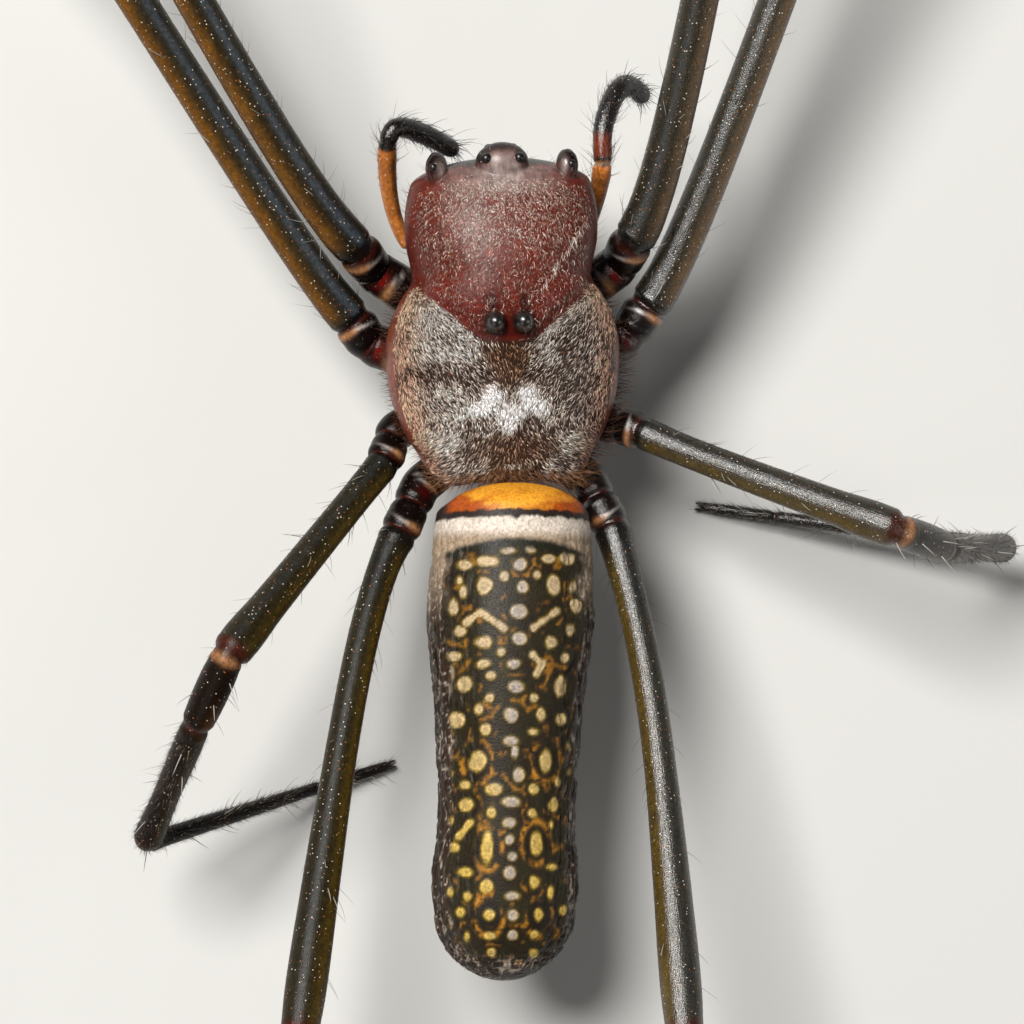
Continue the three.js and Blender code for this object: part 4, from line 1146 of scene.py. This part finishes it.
# The left jaw and its fang, each as the start, handle and end of its middle line
jaw = {
    "line": ((1.28, -11.05, 7.9), (1.4, -11.75, 6.2), (1.15, -11.2, 4.35)), "radius": 1.14,
    "fang": ((1.4, -11.25, 4.65), (1.15, -11.0, 3.75), (0.4, -10.8, 4.15)), "fangRadius": 0.34,
}
jawTones = tones(base="#1a0c0a", fang="#4a0f08")


# Each jaw is a bent tube whose radius rises and falls along part of a sine, with a fang whose radius
# is the 0.8 power of a straight fall to 15% at its tip
def buildChelicerae():
    for side, sideName in ((1, "left"), (-1, "right")):
        flip = np.array([side, 1, 1])
        line = bend(*jaw["line"], 60) * flip
        t = np.linspace(0, 1, 60)
        radii = jaw["radius"] * (0.72 + 0.28 * np.sin(np.pi * np.minimum(1, 0.25 + 0.7 * t)))
        radii = radii * roundEnd(t + 0.06, 0.2) * roundEnd(1.05 - t, 0.3)
        basal = tubeShape(line, radii, 40, reference=(0, 1, 0))
        fangLine = bend(*jaw["fang"], 40) * flip
        fangT = np.linspace(0, 1, 40)
        fang = tubeShape(fangLine, jaw["fangRadius"] * (1 - 0.85 * fangT) ** 0.8, 20, reference=(0, 1, 0))
        points, faces = joinShapes([basal, fang])
        tone = blendTone(jawTones["base"], jawTones["fang"], ease(points[:, 2], 4.9, 4.2))
        makePiece(f"chelicera_skin_{sideName}", turnHead(points), faces, hornFinish,
                  [f"chelicera_{sideName}"], tone)


# Legs

legSizes = {
    1: {"femur": 21, "patella": 4.6, "tibia": 17, "metatarsus": 20, "tarsus": 4.6, "thick": 0.77},
    2: {"femur": 19.3, "patella": 4.3, "tibia": 14, "metatarsus": 18, "tarsus": 4.2, "thick": 0.77},
    3: {"femur": 10.9, "patella": 3.2, "tibia": 6.4, "metatarsus": 9.2, "tarsus": 3, "thick": 0.67},
    4: {"femur": 20, "patella": 3.7, "tibia": 11.5, "metatarsus": 16, "tarsus": 3.6, "thick": 0.8},
}
# By pair and side: where each femur starts; heading and rise of femur, patella and tibia; the foot's
# heading; and how far the femur bulges towards larger headings, most at the share `at`
stances = {
    (1, 1): {"start": (5.7, -9.11, 8), "femur": (33.6, 22), "patella": (33, 0), "tibia": (28, -16),
             "foot": 22, "bulge": 0.7, "at": 0.12},
    (1, -1): {"start": (-4.78, -9.53, 8), "femur": (11.6, 22), "patella": (14, 0),
              "tibia": (11, -16), "foot": 8, "bulge": 0.8, "at": 0.08},
    (2, 1): {"start": (5.84, -6.57, 6.5), "femur": (34.9, 14), "patella": (42, 0),
             "tibia": (48, -12), "foot": 44, "bulge": 0.4, "at": 0.08},
    (2, -1): {"start": (-5.53, -7.21, 6.5), "femur": (21.2, 14), "patella": (27, 0),
              "tibia": (33, -12), "foot": 30, "bulge": 0.6, "at": 0.08},
    (3, 1): {"start": (4.65, -1.04, 7.2), "femur": (141.2, 28.4), "patella": (155.8, -27),
             "tibia": (157.4, -42), "foot": -72.6, "bulge": 0, "at": 0.15},
    (3, -1): {"start": (-5.18, -2.28, 7.2), "femur": (112.8, 20.7), "patella": (104.7, -47),
              "tibia": (85, -60), "foot": -81.6, "bulge": 0.15, "at": 0.15},
    (4, 1): {"start": (4.09, 1.68, 7.2), "femur": (168.3, 14), "patella": (169, -8),
             "tibia": (172, -20), "foot": 174, "bulge": -0.9, "at": 0.15},
    (4, -1): {"start": (-4.06, 1.38, 7.2), "femur": (173.2, 14), "patella": (172, -8),
              "tibia": (172, -20), "foot": 174, "bulge": -0.8, "at": 0.3},
}
coxae = {
    1: {"root": (2.45, -7.1, 6.1), "end": (4.75, -8.6, 6.75), "radius": 0.86},
    2: {"root": (2.6, -5.05, 6.05), "end": (5.0, -5.85, 6.15), "radius": 0.86},
    3: {"root": (2.5, -3.05, 6.05), "end": (4.1, -2.5, 6.35), "radius": 0.74},
    4: {"root": (1.85, -1.35, 6.05), "end": (3.2, -0.35, 6.45), "radius": 0.78},
}
segments = ("hip", "femur", "patella", "tibia", "metatarsus", "tarsus")
femurHandle = 0.42
tarsusDroop = np.radians(12)
tarsusTip = 0.24

# Radius along each segment as a share of the leg's thickest radius
frontFemur = through([(0, 0.95), (0.06, 1.07), (0.2, 1.03), (0.5, 0.98), (0.8, 0.94), (0.95, 0.95),
                      (1, 0.86)])
femurShapes = {
    1: frontFemur,
    2: frontFemur,
    3: through([(0, 0.93), (0.08, 0.96), (0.3, 0.93), (0.6, 0.97), (0.85, 1.06), (0.95, 1.18),
                (1, 1.06)]),
    4: through([(0, 0.92), (0.05, 0.86), (0.14, 0.78), (0.35, 0.77), (0.62, 0.8), (0.82, 0.93),
                (0.94, 1), (1, 0.88)]),
}
legShapes = {
    "hip": through([(0, 0.8), (0.2, 1), (0.55, 1), (0.68, 0.93), (0.76, 0.95), (0.86, 1), (1, 0.92)]),
    "patella": through([(0, 0.9), (0.3, 1.02), (0.8, 0.98), (1, 0.82)]),
    "tibia": through([(0, 0.78), (0.15, 0.86), (0.6, 0.78), (0.92, 0.86), (1, 0.74)]),
    "metatarsus": through([(0, 0.6), (0.12, 0.56), (0.6, 0.46), (1, 0.36)]),
    "tarsus": through([(0, 0.36), (0.7, 0.34), (1, 0.28)]),
}


# The unit direction of a leg segment: heading counted outwards from straight ahead, then rise
def aim(side, heading, rise):
    return np.array([side * np.sin(heading) * np.cos(rise), -np.cos(heading) * np.cos(rise),
                     np.sin(rise)])


# The joints of a leg from the hip's end to the claws
def legJoints(pair, side):
    size, stance = legSizes[pair], stances[pair, side]
    points = [np.array(stance["start"], float)]
    for part in ("femur", "patella", "tibia"):
        heading, rise = np.radians(stance[part])
        points.append(points[-1] + aim(side, heading, rise) * size[part])
    foot = np.radians(stance["foot"])
    fall = tarsusTip + size["tarsus"] * np.sin(tarsusDroop) - points[-1][2]
    slope = np.arcsin(fall / size["metatarsus"])
    points.append(points[-1] + aim(side, foot, slope) * size["metatarsus"])
    points.append(points[-1] + aim(side, foot, -tarsusDroop) * size["tarsus"])
    return points


# A femur's middle line: a cubic curve whose two handles pull it sideways by its bulge
def femurPoints(start, end, stance, side, t):
    heading = np.radians(stance["femur"][0])
    sideways = np.array([side * np.cos(heading), np.sin(heading), 0]) * stance["bulge"]
    handles = [start + (end - start) * share + sideways * (1 - share) / (1 - stance["at"])
               for share in (stance["at"], femurHandle)]
    t = t[:, None]
    return (start * (1 - t) ** 3 + handles[0] * 3 * t * (1 - t) ** 2
            + handles[1] * 3 * t * t * (1 - t) + end * t ** 3)


# The moving average of rows of values over a bell-shaped window, carried on straight at both ends
def smoothed(values, width):
    half = width // 2
    window = np.hanning(width + 2)[1:-1]
    before = 2 * values[:1] - values[half:0:-1]
    after = 2 * values[-1:] - values[-2:-half - 2:-1]
    padded = np.concatenate([before, values, after])
    return np.stack([np.convolve(column, window / window.sum(), "valid") for column in padded.T], 1)


# The middle line of a leg in fine steps, whose corners are rounded by a moving average, with each
# step's segment, its share of the segment, its radius and its way from the start
def legLine(pair, side):
    stance, size, coxa = stances[pair, side], legSizes[pair], coxae[pair]
    flip = np.array([side, 1, 1])
    joints = legJoints(pair, side)
    coxaRoot, coxaEnd = [turnHead(np.array(coxa[key]) * flip) for key in ("root", "end")]
    corners = [coxaRoot] + joints
    step = 0.02
    line, segment, share = [], [], []
    for number, (start, end) in enumerate(zip(corners[:-1], corners[1:])):
        count = int(np.linalg.norm(end - start) / step)
        t = np.arange(count) / count
        if segments[number] == "hip":
            way = np.linalg.norm(coxaEnd - start)
            bendAt = way / (way + np.linalg.norm(end - coxaEnd))
            part = np.stack([np.interp(t, [0, bendAt, 1], [start[k], coxaEnd[k], end[k]])
                             for k in range(3)], 1)
        elif segments[number] == "femur":
            part = femurPoints(start, end, stance, side, t)
        else:
            part = start + (end - start) * t[:, None]
        line.append(part)
        segment.append(np.full(count, number))
        share.append(t)
    line = smoothed(np.concatenate(line + [corners[-1][None]]), 41)
    segment = np.append(np.concatenate(segment), len(segments) - 1)
    share = np.append(np.concatenate(share), 1.0)
    radius = np.zeros(len(line))
    for number, name in enumerate(segments):
        here = segment == number
        thick = coxa["radius"] if name == "hip" else size["thick"]
        shape = femurShapes[pair] if name == "femur" else legShapes[name]
        radius[here] = thick * shape(share[here])
    radius = smoothed(radius[:, None], 19)[:, 0]
    run = np.concatenate([[0], np.cumsum(np.linalg.norm(np.diff(line, axis=0), axis=1))])
    return line, segment, share, radius - 0.02, run


legTones = tones(black="#0b0908", olive="#17140b", oliveWarm="#261f0d", amber="#704403",
                 oliveSide="#463c10", patella="#140a04", redBrown="#3a1006", tibia="#1a0f06",
                 foot="#0f0b08", coxa="#0e0706", red="#6a0a04", membrane="#3a140a", cream="#9c6c46",
                 blue="#46505a", silver="#8c8580")


# Colours along and round a leg: a black hip with one deep red patch and two pale translucent rims
# that turn silver grey as a painted highlight, black femur base, dark olive femur that glows amber
# along its outer side, more so where `warm` is 1, with a blue-grey painted highlight along its top,
# dark brown beyond the knee and nearly black towards the foot
def legTone(segment, share, around, points, fromJoint, warm):
    byPart = {"hip": "coxa", "femur": "olive", "patella": "patella", "tibia": "tibia",
              "metatarsus": "foot", "tarsus": "foot"}
    tone = np.stack([legTones[byPart[name]] for name in segments])[segment]
    patchy = lumps(points, 0.7, 81)
    fine = lumps(points, 0.16, 82)
    top = np.sin(around)
    across = np.cos(around)
    outerSide = np.exp(-((across + 0.78) / 0.34) ** 2) * ease(top, -0.7, 0.1)
    glow = blendTone(legTones["oliveSide"], legTones["amber"], np.full(len(points), warm))

    # A pale rim bends away from its middle and widens towards the leg's outer side
    def crescent(middle):
        width = 0.014 + 0.024 * ease(across, 0.3, -0.7)
        return np.exp(-((share - middle + 0.05 * (across + 0.3) ** 2) / width) ** 2) * ease(across, 1.0, 0.2)

    # each pale rim is cream on the outer side and turns silver grey further round, where the silver grey is
    # a painted highlight
    rim = blendTone(legTones["cream"], legTones["silver"], ease(across, -0.5, 0.2))
    # the red patch is bright on the two front pairs, and a blue-grey painted highlight runs along the
    # top of each femur, strongest on the amber legs
    redness = 0.25 + 0.6 * ease(warm, 0.2, 0.4)
    paintedHighlight = 0.15 + 0.4 * ease(warm, 0.6, 0.8)

    layers = {
        "femur": [
            (legTones["oliveWarm"], 0.7 * np.clip(ease(share, 0.08, 0.4) + 0.4 * patchy, 0, 1)),
            (glow, (0.8 + 0.2 * patchy) * outerSide * ease(share, 0.03, 0.14)),
            (legTones["blue"], paintedHighlight * np.exp(-((across - 0.3) / 0.22) ** 2) * ease(top, 0, 0.2)),
            (legTones["black"], 0.9 * ease(share, 0.07, 0.015)),
            (legTones["redBrown"], 0.8 * ease(share, 0.975, 0.99)),
        ],
        "hip": [
            (legTones["red"], redness * np.exp(-((share - 0.57) / 0.05) ** 2
                                            - ((across + 0.3) / 0.4) ** 2) * ease(top, -0.1, 0.4)),
            (rim, 0.8 * crescent(0.47)),
            (rim, 0.9 * crescent(0.94)),
        ],
        "patella": [(legTones["amber"], 0.3 * ease(share, 0.4, 0.9) * outerSide),
                    (legTones["cream"], 0.75 * np.exp(-((share - 0.05) / 0.03) ** 2)),
                    (legTones["redBrown"], ease(share, 0.93, 0.98))],
        "tibia": [(legTones["redBrown"], 0.8 * ease(share, 0.9, 1.0)),
                  (glow, 0.3 * outerSide),
                  (legTones["black"], 0.5 * ease(patchy, 0.2, 0.8))],
    }
    for name, stack in layers.items():
        here = segment == segments.index(name)
        for colour, amount in stack:
            colour = colour[here] if colour.ndim == 2 else colour
            tone[here] = blendTone(tone[here], colour, np.clip(amount[here], 0, 1))
    tone = tone * (1 + 0.22 * fine)[:, None]
    return blendTone(tone, legTones["membrane"], 0.7 * np.exp(-(fromJoint / 0.07) ** 2))


legSkin = {"rings": 520, "sides": 32}


# One leg: a tube along its line, drawn in at each joint with a low lip beside it, both as bell
# curves of the distance from the joint, then its hair and claws
def buildLeg(pair, side):
    label = f"{pair}_{'left' if side > 0 else 'right'}"
    line, segment, share, radius, run = legLine(pair, side)
    thick = legSizes[pair]["thick"]
    jointRuns = run[np.flatnonzero(np.diff(segment)) + 1]
    trochanterRun = np.interp(0.68, share[segment == 0], run[segment == 0])
    jointRuns = np.append(jointRuns, trochanterRun)
    fromJoint = np.min(np.abs(run[:, None] - jointRuns), axis=1)
    dip = 0.07 * thick * np.exp(-(fromJoint / 0.1) ** 2)
    lip = 0.03 * thick * np.exp(-((fromJoint - 0.3) / 0.12) ** 2)
    radius = radius - dip + lip
    # rings stand closer together near the joints
    density = np.cumsum(1 + 2.5 * np.exp(-(fromJoint / 0.5) ** 2))
    pick = np.searchsorted(density, np.linspace(density[0], density[-1], legSkin["rings"]))
    pick = np.unique(np.clip(pick, 0, len(line) - 1))
    sides = legSkin["sides"]
    ends = roundEnd(run[pick] + 0.02, 0.5) * roundEnd(run[-1] + 0.02 - run[pick], 0.25)
    points, faces = tubeShape(line[pick], radius[pick] * ends, sides)
    around = np.concatenate([[0], np.tile(2 * np.pi * np.arange(sides) / sides, len(pick)), [0]])

    # the value at each chosen step of the line, repeated for every point of its ring
    def spread(values):
        return np.concatenate([values[:1], np.repeat(values[pick], sides), values[-1:]])

    facing = around if side > 0 else np.pi - around
    warm = (0.85 if side > 0 else 0.5) if pair < 3 else 0.15
    tone = legTone(spread(segment), spread(share), facing, points, spread(fromJoint), warm)
    hipGloss = np.where(segment == 0, 0.7, 0.0) + np.where(segment == 1, 0.7 * ease(share, 0.08, 0.02), 0)
    brush = np.stack([spread(run) * 0.07, spread(radius) * np.cos(around),
                      spread(radius) * np.sin(around)], 1)
    nodes = [f"{part}_{label}" for part in ("hip", "femur", "patella", "tibia", "foot")]
    points[:, 2] = np.maximum(points[:, 2], 0.0)
    finish = amberLegFinish if side > 0 else legFinish
    makePiece(f"leg_skin_{label}", points, faces, finish, nodes, tone,
              gloss=spread(hipGloss), brush=brush)
    buildLegHair(label, pair, side, line, segment, radius, run)
    buildClaws(label, line[-1], unit(line[-1] - line[-40]))


# Places, directions and unwrap of roots on a leg, given steps of its line and angles round it
def legRoots(line, radius, run, step, angle):
    across, up, forward = frameAlong(line)
    outward = across[step] * np.cos(angle)[:, None] + up[step] * np.sin(angle)[:, None]
    root = line[step] + outward * radius[step][:, None]
    unwrap = np.stack([angle / (2 * np.pi) % 1, run[step] / run[-1]], 1)
    return root, outward, forward[step], unwrap


legHair = {"fine": 8200, "fineLength": (0.09, 0.2), "fineWidth": 0.018, "bristles": 110,
           "bristleLength": (0.75, 1.2), "bristleWidth": 0.034, "spineWidth": 0.065}
legHairTones = tones(pale="#b09a7c", dark="#17110a", spine="#b4aea6", bristle="#2a1c14")


# Fine hair along the whole leg and long bristles. A bristle of length L that stands at angle a to
# the skin runs L cos a along it and L sin a out of it.
def buildLegHair(label, pair, side, line, segment, radius, run):
    rng = np.random.default_rng(100 * pair + 50 + side)
    free = np.flatnonzero(segment >= 1)
    count = legHair["fine"]
    step = rng.choice(free, count)
    root, out, forward, unwrap = legRoots(line, radius, run, step, rng.uniform(0, 2 * np.pi, count))
    lie = forward + rng.normal(0, 0.15, root.shape)
    far = segment[step] >= 3
    pale = rng.random(count) < 0.14
    tone = np.where(pale[:, None], legHairTones["pale"], legHairTones["dark"])
    tone = tone * rng.uniform(0.5, 1.2, count)[:, None]
    rise = np.where(far, rng.uniform(0.3, 0.9, count), rng.uniform(0.1, 0.4, count))
    length = rng.uniform(*legHair["fineLength"], count) * np.where(far, 1.8, 1.0)
    fine = tuftShapes(root, out, lie, length, legHair["fineWidth"], rise, 0.1,
                      rng.normal(0, 0.1, count), tone, unwrap, rings=1)

    count = legHair["bristles"]
    step = rng.choice(free, count)
    root, out, forward, unwrap = legRoots(line, radius, run, step, rng.uniform(0, 2 * np.pi, count))
    spiny = rng.random(count) < np.where(segment[step] >= 2, 0.7, 0.35)
    tone = np.where(spiny[:, None], legHairTones["spine"], legHairTones["bristle"])
    tone = tone * rng.uniform(0.5, 1.2, count)[:, None]
    slant = np.radians(rng.uniform(30, 62, count))
    length = rng.uniform(*legHair["bristleLength"], count)
    bristle = tuftShapes(root, out, forward + rng.normal(0, 0.15, root.shape), length * np.cos(slant),
                         np.where(spiny, legHair["spineWidth"], legHair["bristleWidth"]),
                         np.tan(slant), 0.25,
                         rng.normal(0, 0.1, count), tone, unwrap, rings=4)
    points = np.concatenate([fine[0], bristle[0]])
    faces = [np.concatenate([fine[1][0], bristle[1][0] + len(fine[0])])]
    points[:, 2] = np.maximum(points[:, 2], 0.0)
    makePiece(f"leg_hair_{label}", points, faces, darkHair, (),
              np.concatenate([fine[2], bristle[2]]), np.concatenate([fine[3], bristle[3]]))


claw = {"length": 0.3, "radius": 0.06, "apart": 0.08, "spread": 0.05, "sunk": 0.12, "steps": 16,
        "tone": "#1a0e08"}


# Two claws curve forwards and down from the tip of each foot, as quarter circles that thin
def buildClaws(label, tip, forward):
    shapes = []
    level = unit(np.array([forward[0], forward[1], 0]))
    across = np.cross(level, (0, 0, 1))
    for side in (1, -1):
        turn = np.linspace(0, np.pi / 2, claw["steps"])[:, None]
        start = tip - level * claw["sunk"] + across * side * claw["apart"]
        line = (start + level * claw["length"] * np.sin(turn)
                + across * side * claw["spread"] * np.sin(turn))
        line[:, 2] = start[2] + 0.02 - (start[2] - 0.04) * (1 - np.cos(turn[:, 0]))
        radii = claw["radius"] * np.sqrt(np.linspace(1, 0.02, claw["steps"]))
        shapes.append(tubeShape(line, radii, 10))
    points, faces = joinShapes(shapes)
    points[:, 2] = np.maximum(points[:, 2], 0.0)
    makePiece(f"leg_claws_{label}", points, faces, hornFinish, (),
              even(linear(claw["tone"]), points))


# Palps

palps = {
    "left": {"base": (3.7, -9.35, 6.7), "knee": (4.64, -13.05, 9.5), "wrist": (4.3, -13.6, 9.5),
             "crest": (3.3, -13.48, 8.7), "tip": (1.92, -12.94, 7.5), "swing": 0.65},
    "right": {"base": (-2.9, -9.6, 6.6), "knee": (-3.58, -12.34, 8.9), "wrist": (-3.65, -14.0, 8.95),
              "crest": (-4.42, -15.45, 8.2), "tip": (-5.4, -15.15, 6.6), "swing": 0.35},
}
palpHair = {"short": 700, "long": 130, "shortLength": (0.15, 0.4), "longLength": (0.6, 1.4)}
palpHairTones = tones(end="#1a1411", base="#5a3a1c")
palpTones = tones(amber="#b0682a", dark="#0f0a08", red="#6a2406", pale="#a8927c")


# A smooth line through a few points, each a share of the way that grows with the root of the step
def lineThrough(corners, count):
    corners = np.array(corners, float)
    steps = np.sqrt(np.linalg.norm(np.diff(corners, axis=0), axis=1))
    places = np.concatenate([[0], np.cumsum(steps)])
    t = np.linspace(0, places[-1], count)
    return np.stack([through(list(zip(places, corners[:, k])))(t) for k in range(3)], 1)


# Palps: a femur that thickens towards the knee, a knob at the knee and a bent hairy end
def buildPalps():
    for name, palp in palps.items():
        base, knee = np.array(palp["base"]), np.array(palp["knee"])
        swing = np.array([np.sign(knee[0]) * palp["swing"], -0.1, -0.35])
        upper = bend(base, base * 0.65 + knee * 0.35 + swing, knee, 240)
        lower = lineThrough([palp[key] for key in ("knee", "wrist", "crest", "tip")], 240)
        line = smoothed(np.concatenate([upper, lower[1:]]), 31)
        run = np.concatenate([[0], np.cumsum(np.linalg.norm(np.diff(line, axis=0), axis=1))])
        kneeRun = run[239]
        end = (run - kneeRun) / (run[-1] - kneeRun)
        upperRadius = 0.27 + 0.14 * run / kneeRun - 0.05 * ease(run, kneeRun * 0.85, kneeRun)
        lowerRadius = 0.36 + 0.05 * np.sin(np.pi * np.clip(end, 0, 1))
        radius = np.where(run < kneeRun, upperRadius, lowerRadius)
        radius = smoothed(radius[:, None], 21)[:, 0] - 0.02
        radius = radius * roundEnd(run[-1] + 0.03 - run, 0.4) * roundEnd(run + 0.02, 0.2)
        radius = radius - 0.05 * np.exp(-((run - kneeRun) / 0.08) ** 2)
        sides = 28
        points, faces = tubeShape(line, radius, sides)
        runs = np.concatenate([run[:1], np.repeat(run, sides), run[-1:]])
        around = np.concatenate([[0], np.tile(2 * np.pi * np.arange(sides) / sides, len(line)), [0]])
        stripe = np.exp(-((np.cos(around) - 0.55) / 0.2) ** 2) * ease(lumps(points, 0.6, 92), -0.5, 0.4)
        tone = blendTone(even(palpTones["amber"], points), palpTones["dark"], 0.75 * stripe)
        darkFrom = kneeRun - 0.2 if name == "left" else kneeRun + 0.1
        tone = blendTone(tone, palpTones["dark"], ease(runs, darkFrom - 0.1, darkFrom + 0.1))
        if name == "right":
            half = ease(runs, kneeRun + 0.15, kneeRun + 0.4) * ease(runs, kneeRun + 1.3, kneeRun + 0.9)
            tone = blendTone(tone, palpTones["red"], 0.8 * half)
            tone = blendTone(tone, palpTones["pale"], np.exp(-((runs - kneeRun - 0.05) / 0.05) ** 2))
        tone = tone * (1 + 0.3 * lumps(points, 0.3, 91))[:, None]
        makePiece(f"palp_skin_{name}", points, faces, legFinish,
                  [f"palp_upper_{name}", f"palp_lower_{name}"], tone,
                  gloss=0.8 * np.exp(-((runs - kneeRun - 0.5) / 0.8) ** 2),
                  brush=np.stack([runs * 0.1, points[:, 0], points[:, 2]], 1))
        buildPalpHair(name, line, radius, run, kneeRun)


# Short hairs over the palp and a few long curved bristles on its end
def buildPalpHair(name, line, radius, run, kneeRun):
    rng = np.random.default_rng(len(name))
    count = palpHair["short"] + palpHair["long"]
    isLong = np.arange(count) >= palpHair["short"]
    place = np.where(isLong, rng.uniform(kneeRun * 0.8, run[-1], count),
                     run[-1] * np.sqrt(rng.uniform(0.1, 1, count)))
    step = np.clip(np.searchsorted(run, place), 0, len(line) - 1)
    root, out, forward, unwrap = legRoots(line, radius, run, step, rng.uniform(0, 2 * np.pi, count))
    slant = np.radians(rng.uniform(20, 60, count))
    length = np.where(isLong, rng.uniform(*palpHair["longLength"], count),
                      rng.uniform(*palpHair["shortLength"], count))
    tone = np.where((run[step] > kneeRun)[:, None], palpHairTones["end"], palpHairTones["base"])
    tone = tone * rng.uniform(0.5, 1.6, count)[:, None]
    shape = tuftShapes(root, out, forward + rng.normal(0, 0.2, root.shape), length * np.cos(slant),
                       np.where(isLong, 0.032, 0.02), np.tan(slant), 0.45, rng.normal(0, 0.25, count),
                       tone, unwrap, rings=4)
    makePiece(f"palp_bristles_{name}", shape[0], shape[1], darkHair, (), shape[2],
              shape[3])


# Stage

# A long lens looks down on the back. Its focal length is the film's width times the distance times
# the pixels per millimetre, over the picture's width.
def buildCamera():
    right, up, back, eye = cameraFrame()
    data = bpy.data.cameras.new("camera")
    data.sensor_width = camera["filmWidth"]
    data.lens = (camera["filmWidth"] * camera["distance"] * camera["pixelsPerMm"]
                 / camera["pictureWidth"])
    data.clip_start, data.clip_end = 0.01, 5
    item = bpy.data.objects.new("camera", data)
    item.location = Vector((eye + waist) * 0.001)
    item.rotation_euler = Matrix(np.stack([right, up, back], 1).tolist()).to_euler()
    bpy.context.scene.collection.objects.link(item)
    bpy.context.scene.camera = item


# Soft round lights: place in metres, size across and power
lights = {
    "topSoftbox": {"place": (0.15, -0.11, 0.38), "size": 0.18, "power": 2.9},
    "sideSoftbox": {"place": (-0.4, 0.15, 0.3), "size": 0.25, "power": 0.4},
    "rearSoftbox": {"place": (0.25, 0.4, 0.3), "size": 0.3, "power": 0.35},
}
lightAim = (0, 0, 0.008)
lightColour = (1, 0.975, 0.94)


# A disc light at a place in metres, turned towards the animal
def addLight(name, place, size, power):
    data = bpy.data.lights.new(name, "AREA")
    data.shape = "DISK"
    data.size = size
    data.energy = power
    data.color = lightColour
    item = bpy.data.objects.new(name, data)
    item.location = place
    item.rotation_euler = (Vector(lightAim) - Vector(place)).to_track_quat("-Z", "Y").to_euler()
    bpy.context.scene.collection.objects.link(item)


stage = {"floorHalf": 1.5, "floorTone": "#c6c6c4", "skyTone": (0.9, 0.95, 1.0), "skyStrength": 0.04}


# The floor, a dim even sky and the lights
def buildStage():
    half = stage["floorHalf"]
    mesh = bpy.data.meshes.new("floor")
    mesh.from_pydata([(-half, -half, 0), (half, -half, 0), (half, half, 0), (-half, half, 0)], [],
                     [(0, 1, 2, 3)])
    floor = bpy.data.objects.new("floor", mesh)
    material = bpy.data.materials.new("paleFloor")
    material.use_nodes = True
    shader = material.node_tree.nodes["Principled BSDF"]
    shader.inputs["Base Color"].default_value = (*linear(stage["floorTone"]), 1)
    shader.inputs["Roughness"].default_value = 0.9
    mesh.materials.append(material)
    bpy.context.scene.collection.objects.link(floor)
    world = bpy.data.worlds.new("studio")
    world.use_nodes = True
    world.node_tree.nodes["Background"].inputs["Color"].default_value = (*stage["skyTone"], 1)
    world.node_tree.nodes["Background"].inputs["Strength"].default_value = stage["skyStrength"]
    bpy.context.scene.world = world
    for name, light in lights.items():
        addLight(name, light["place"], light["size"], light["power"])
    bpy.context.scene.view_settings.view_transform = "Standard"


buildCamera()
buildStage()
buildCarapace()
buildThoraxCoat()
buildHeadCoat()
buildFringe()
buildEyesAndHorns()
print("carapace, coat, eyes and horns built")
buildAbdomen()
buildAbdomenCoat()
print("abdomen built")
buildUnderside()
buildChelicerae()
buildPalps()
print("underside, jaws and palps built")
for legPair, legSide in stances:
    buildLeg(legPair, legSide)
print("legs built")
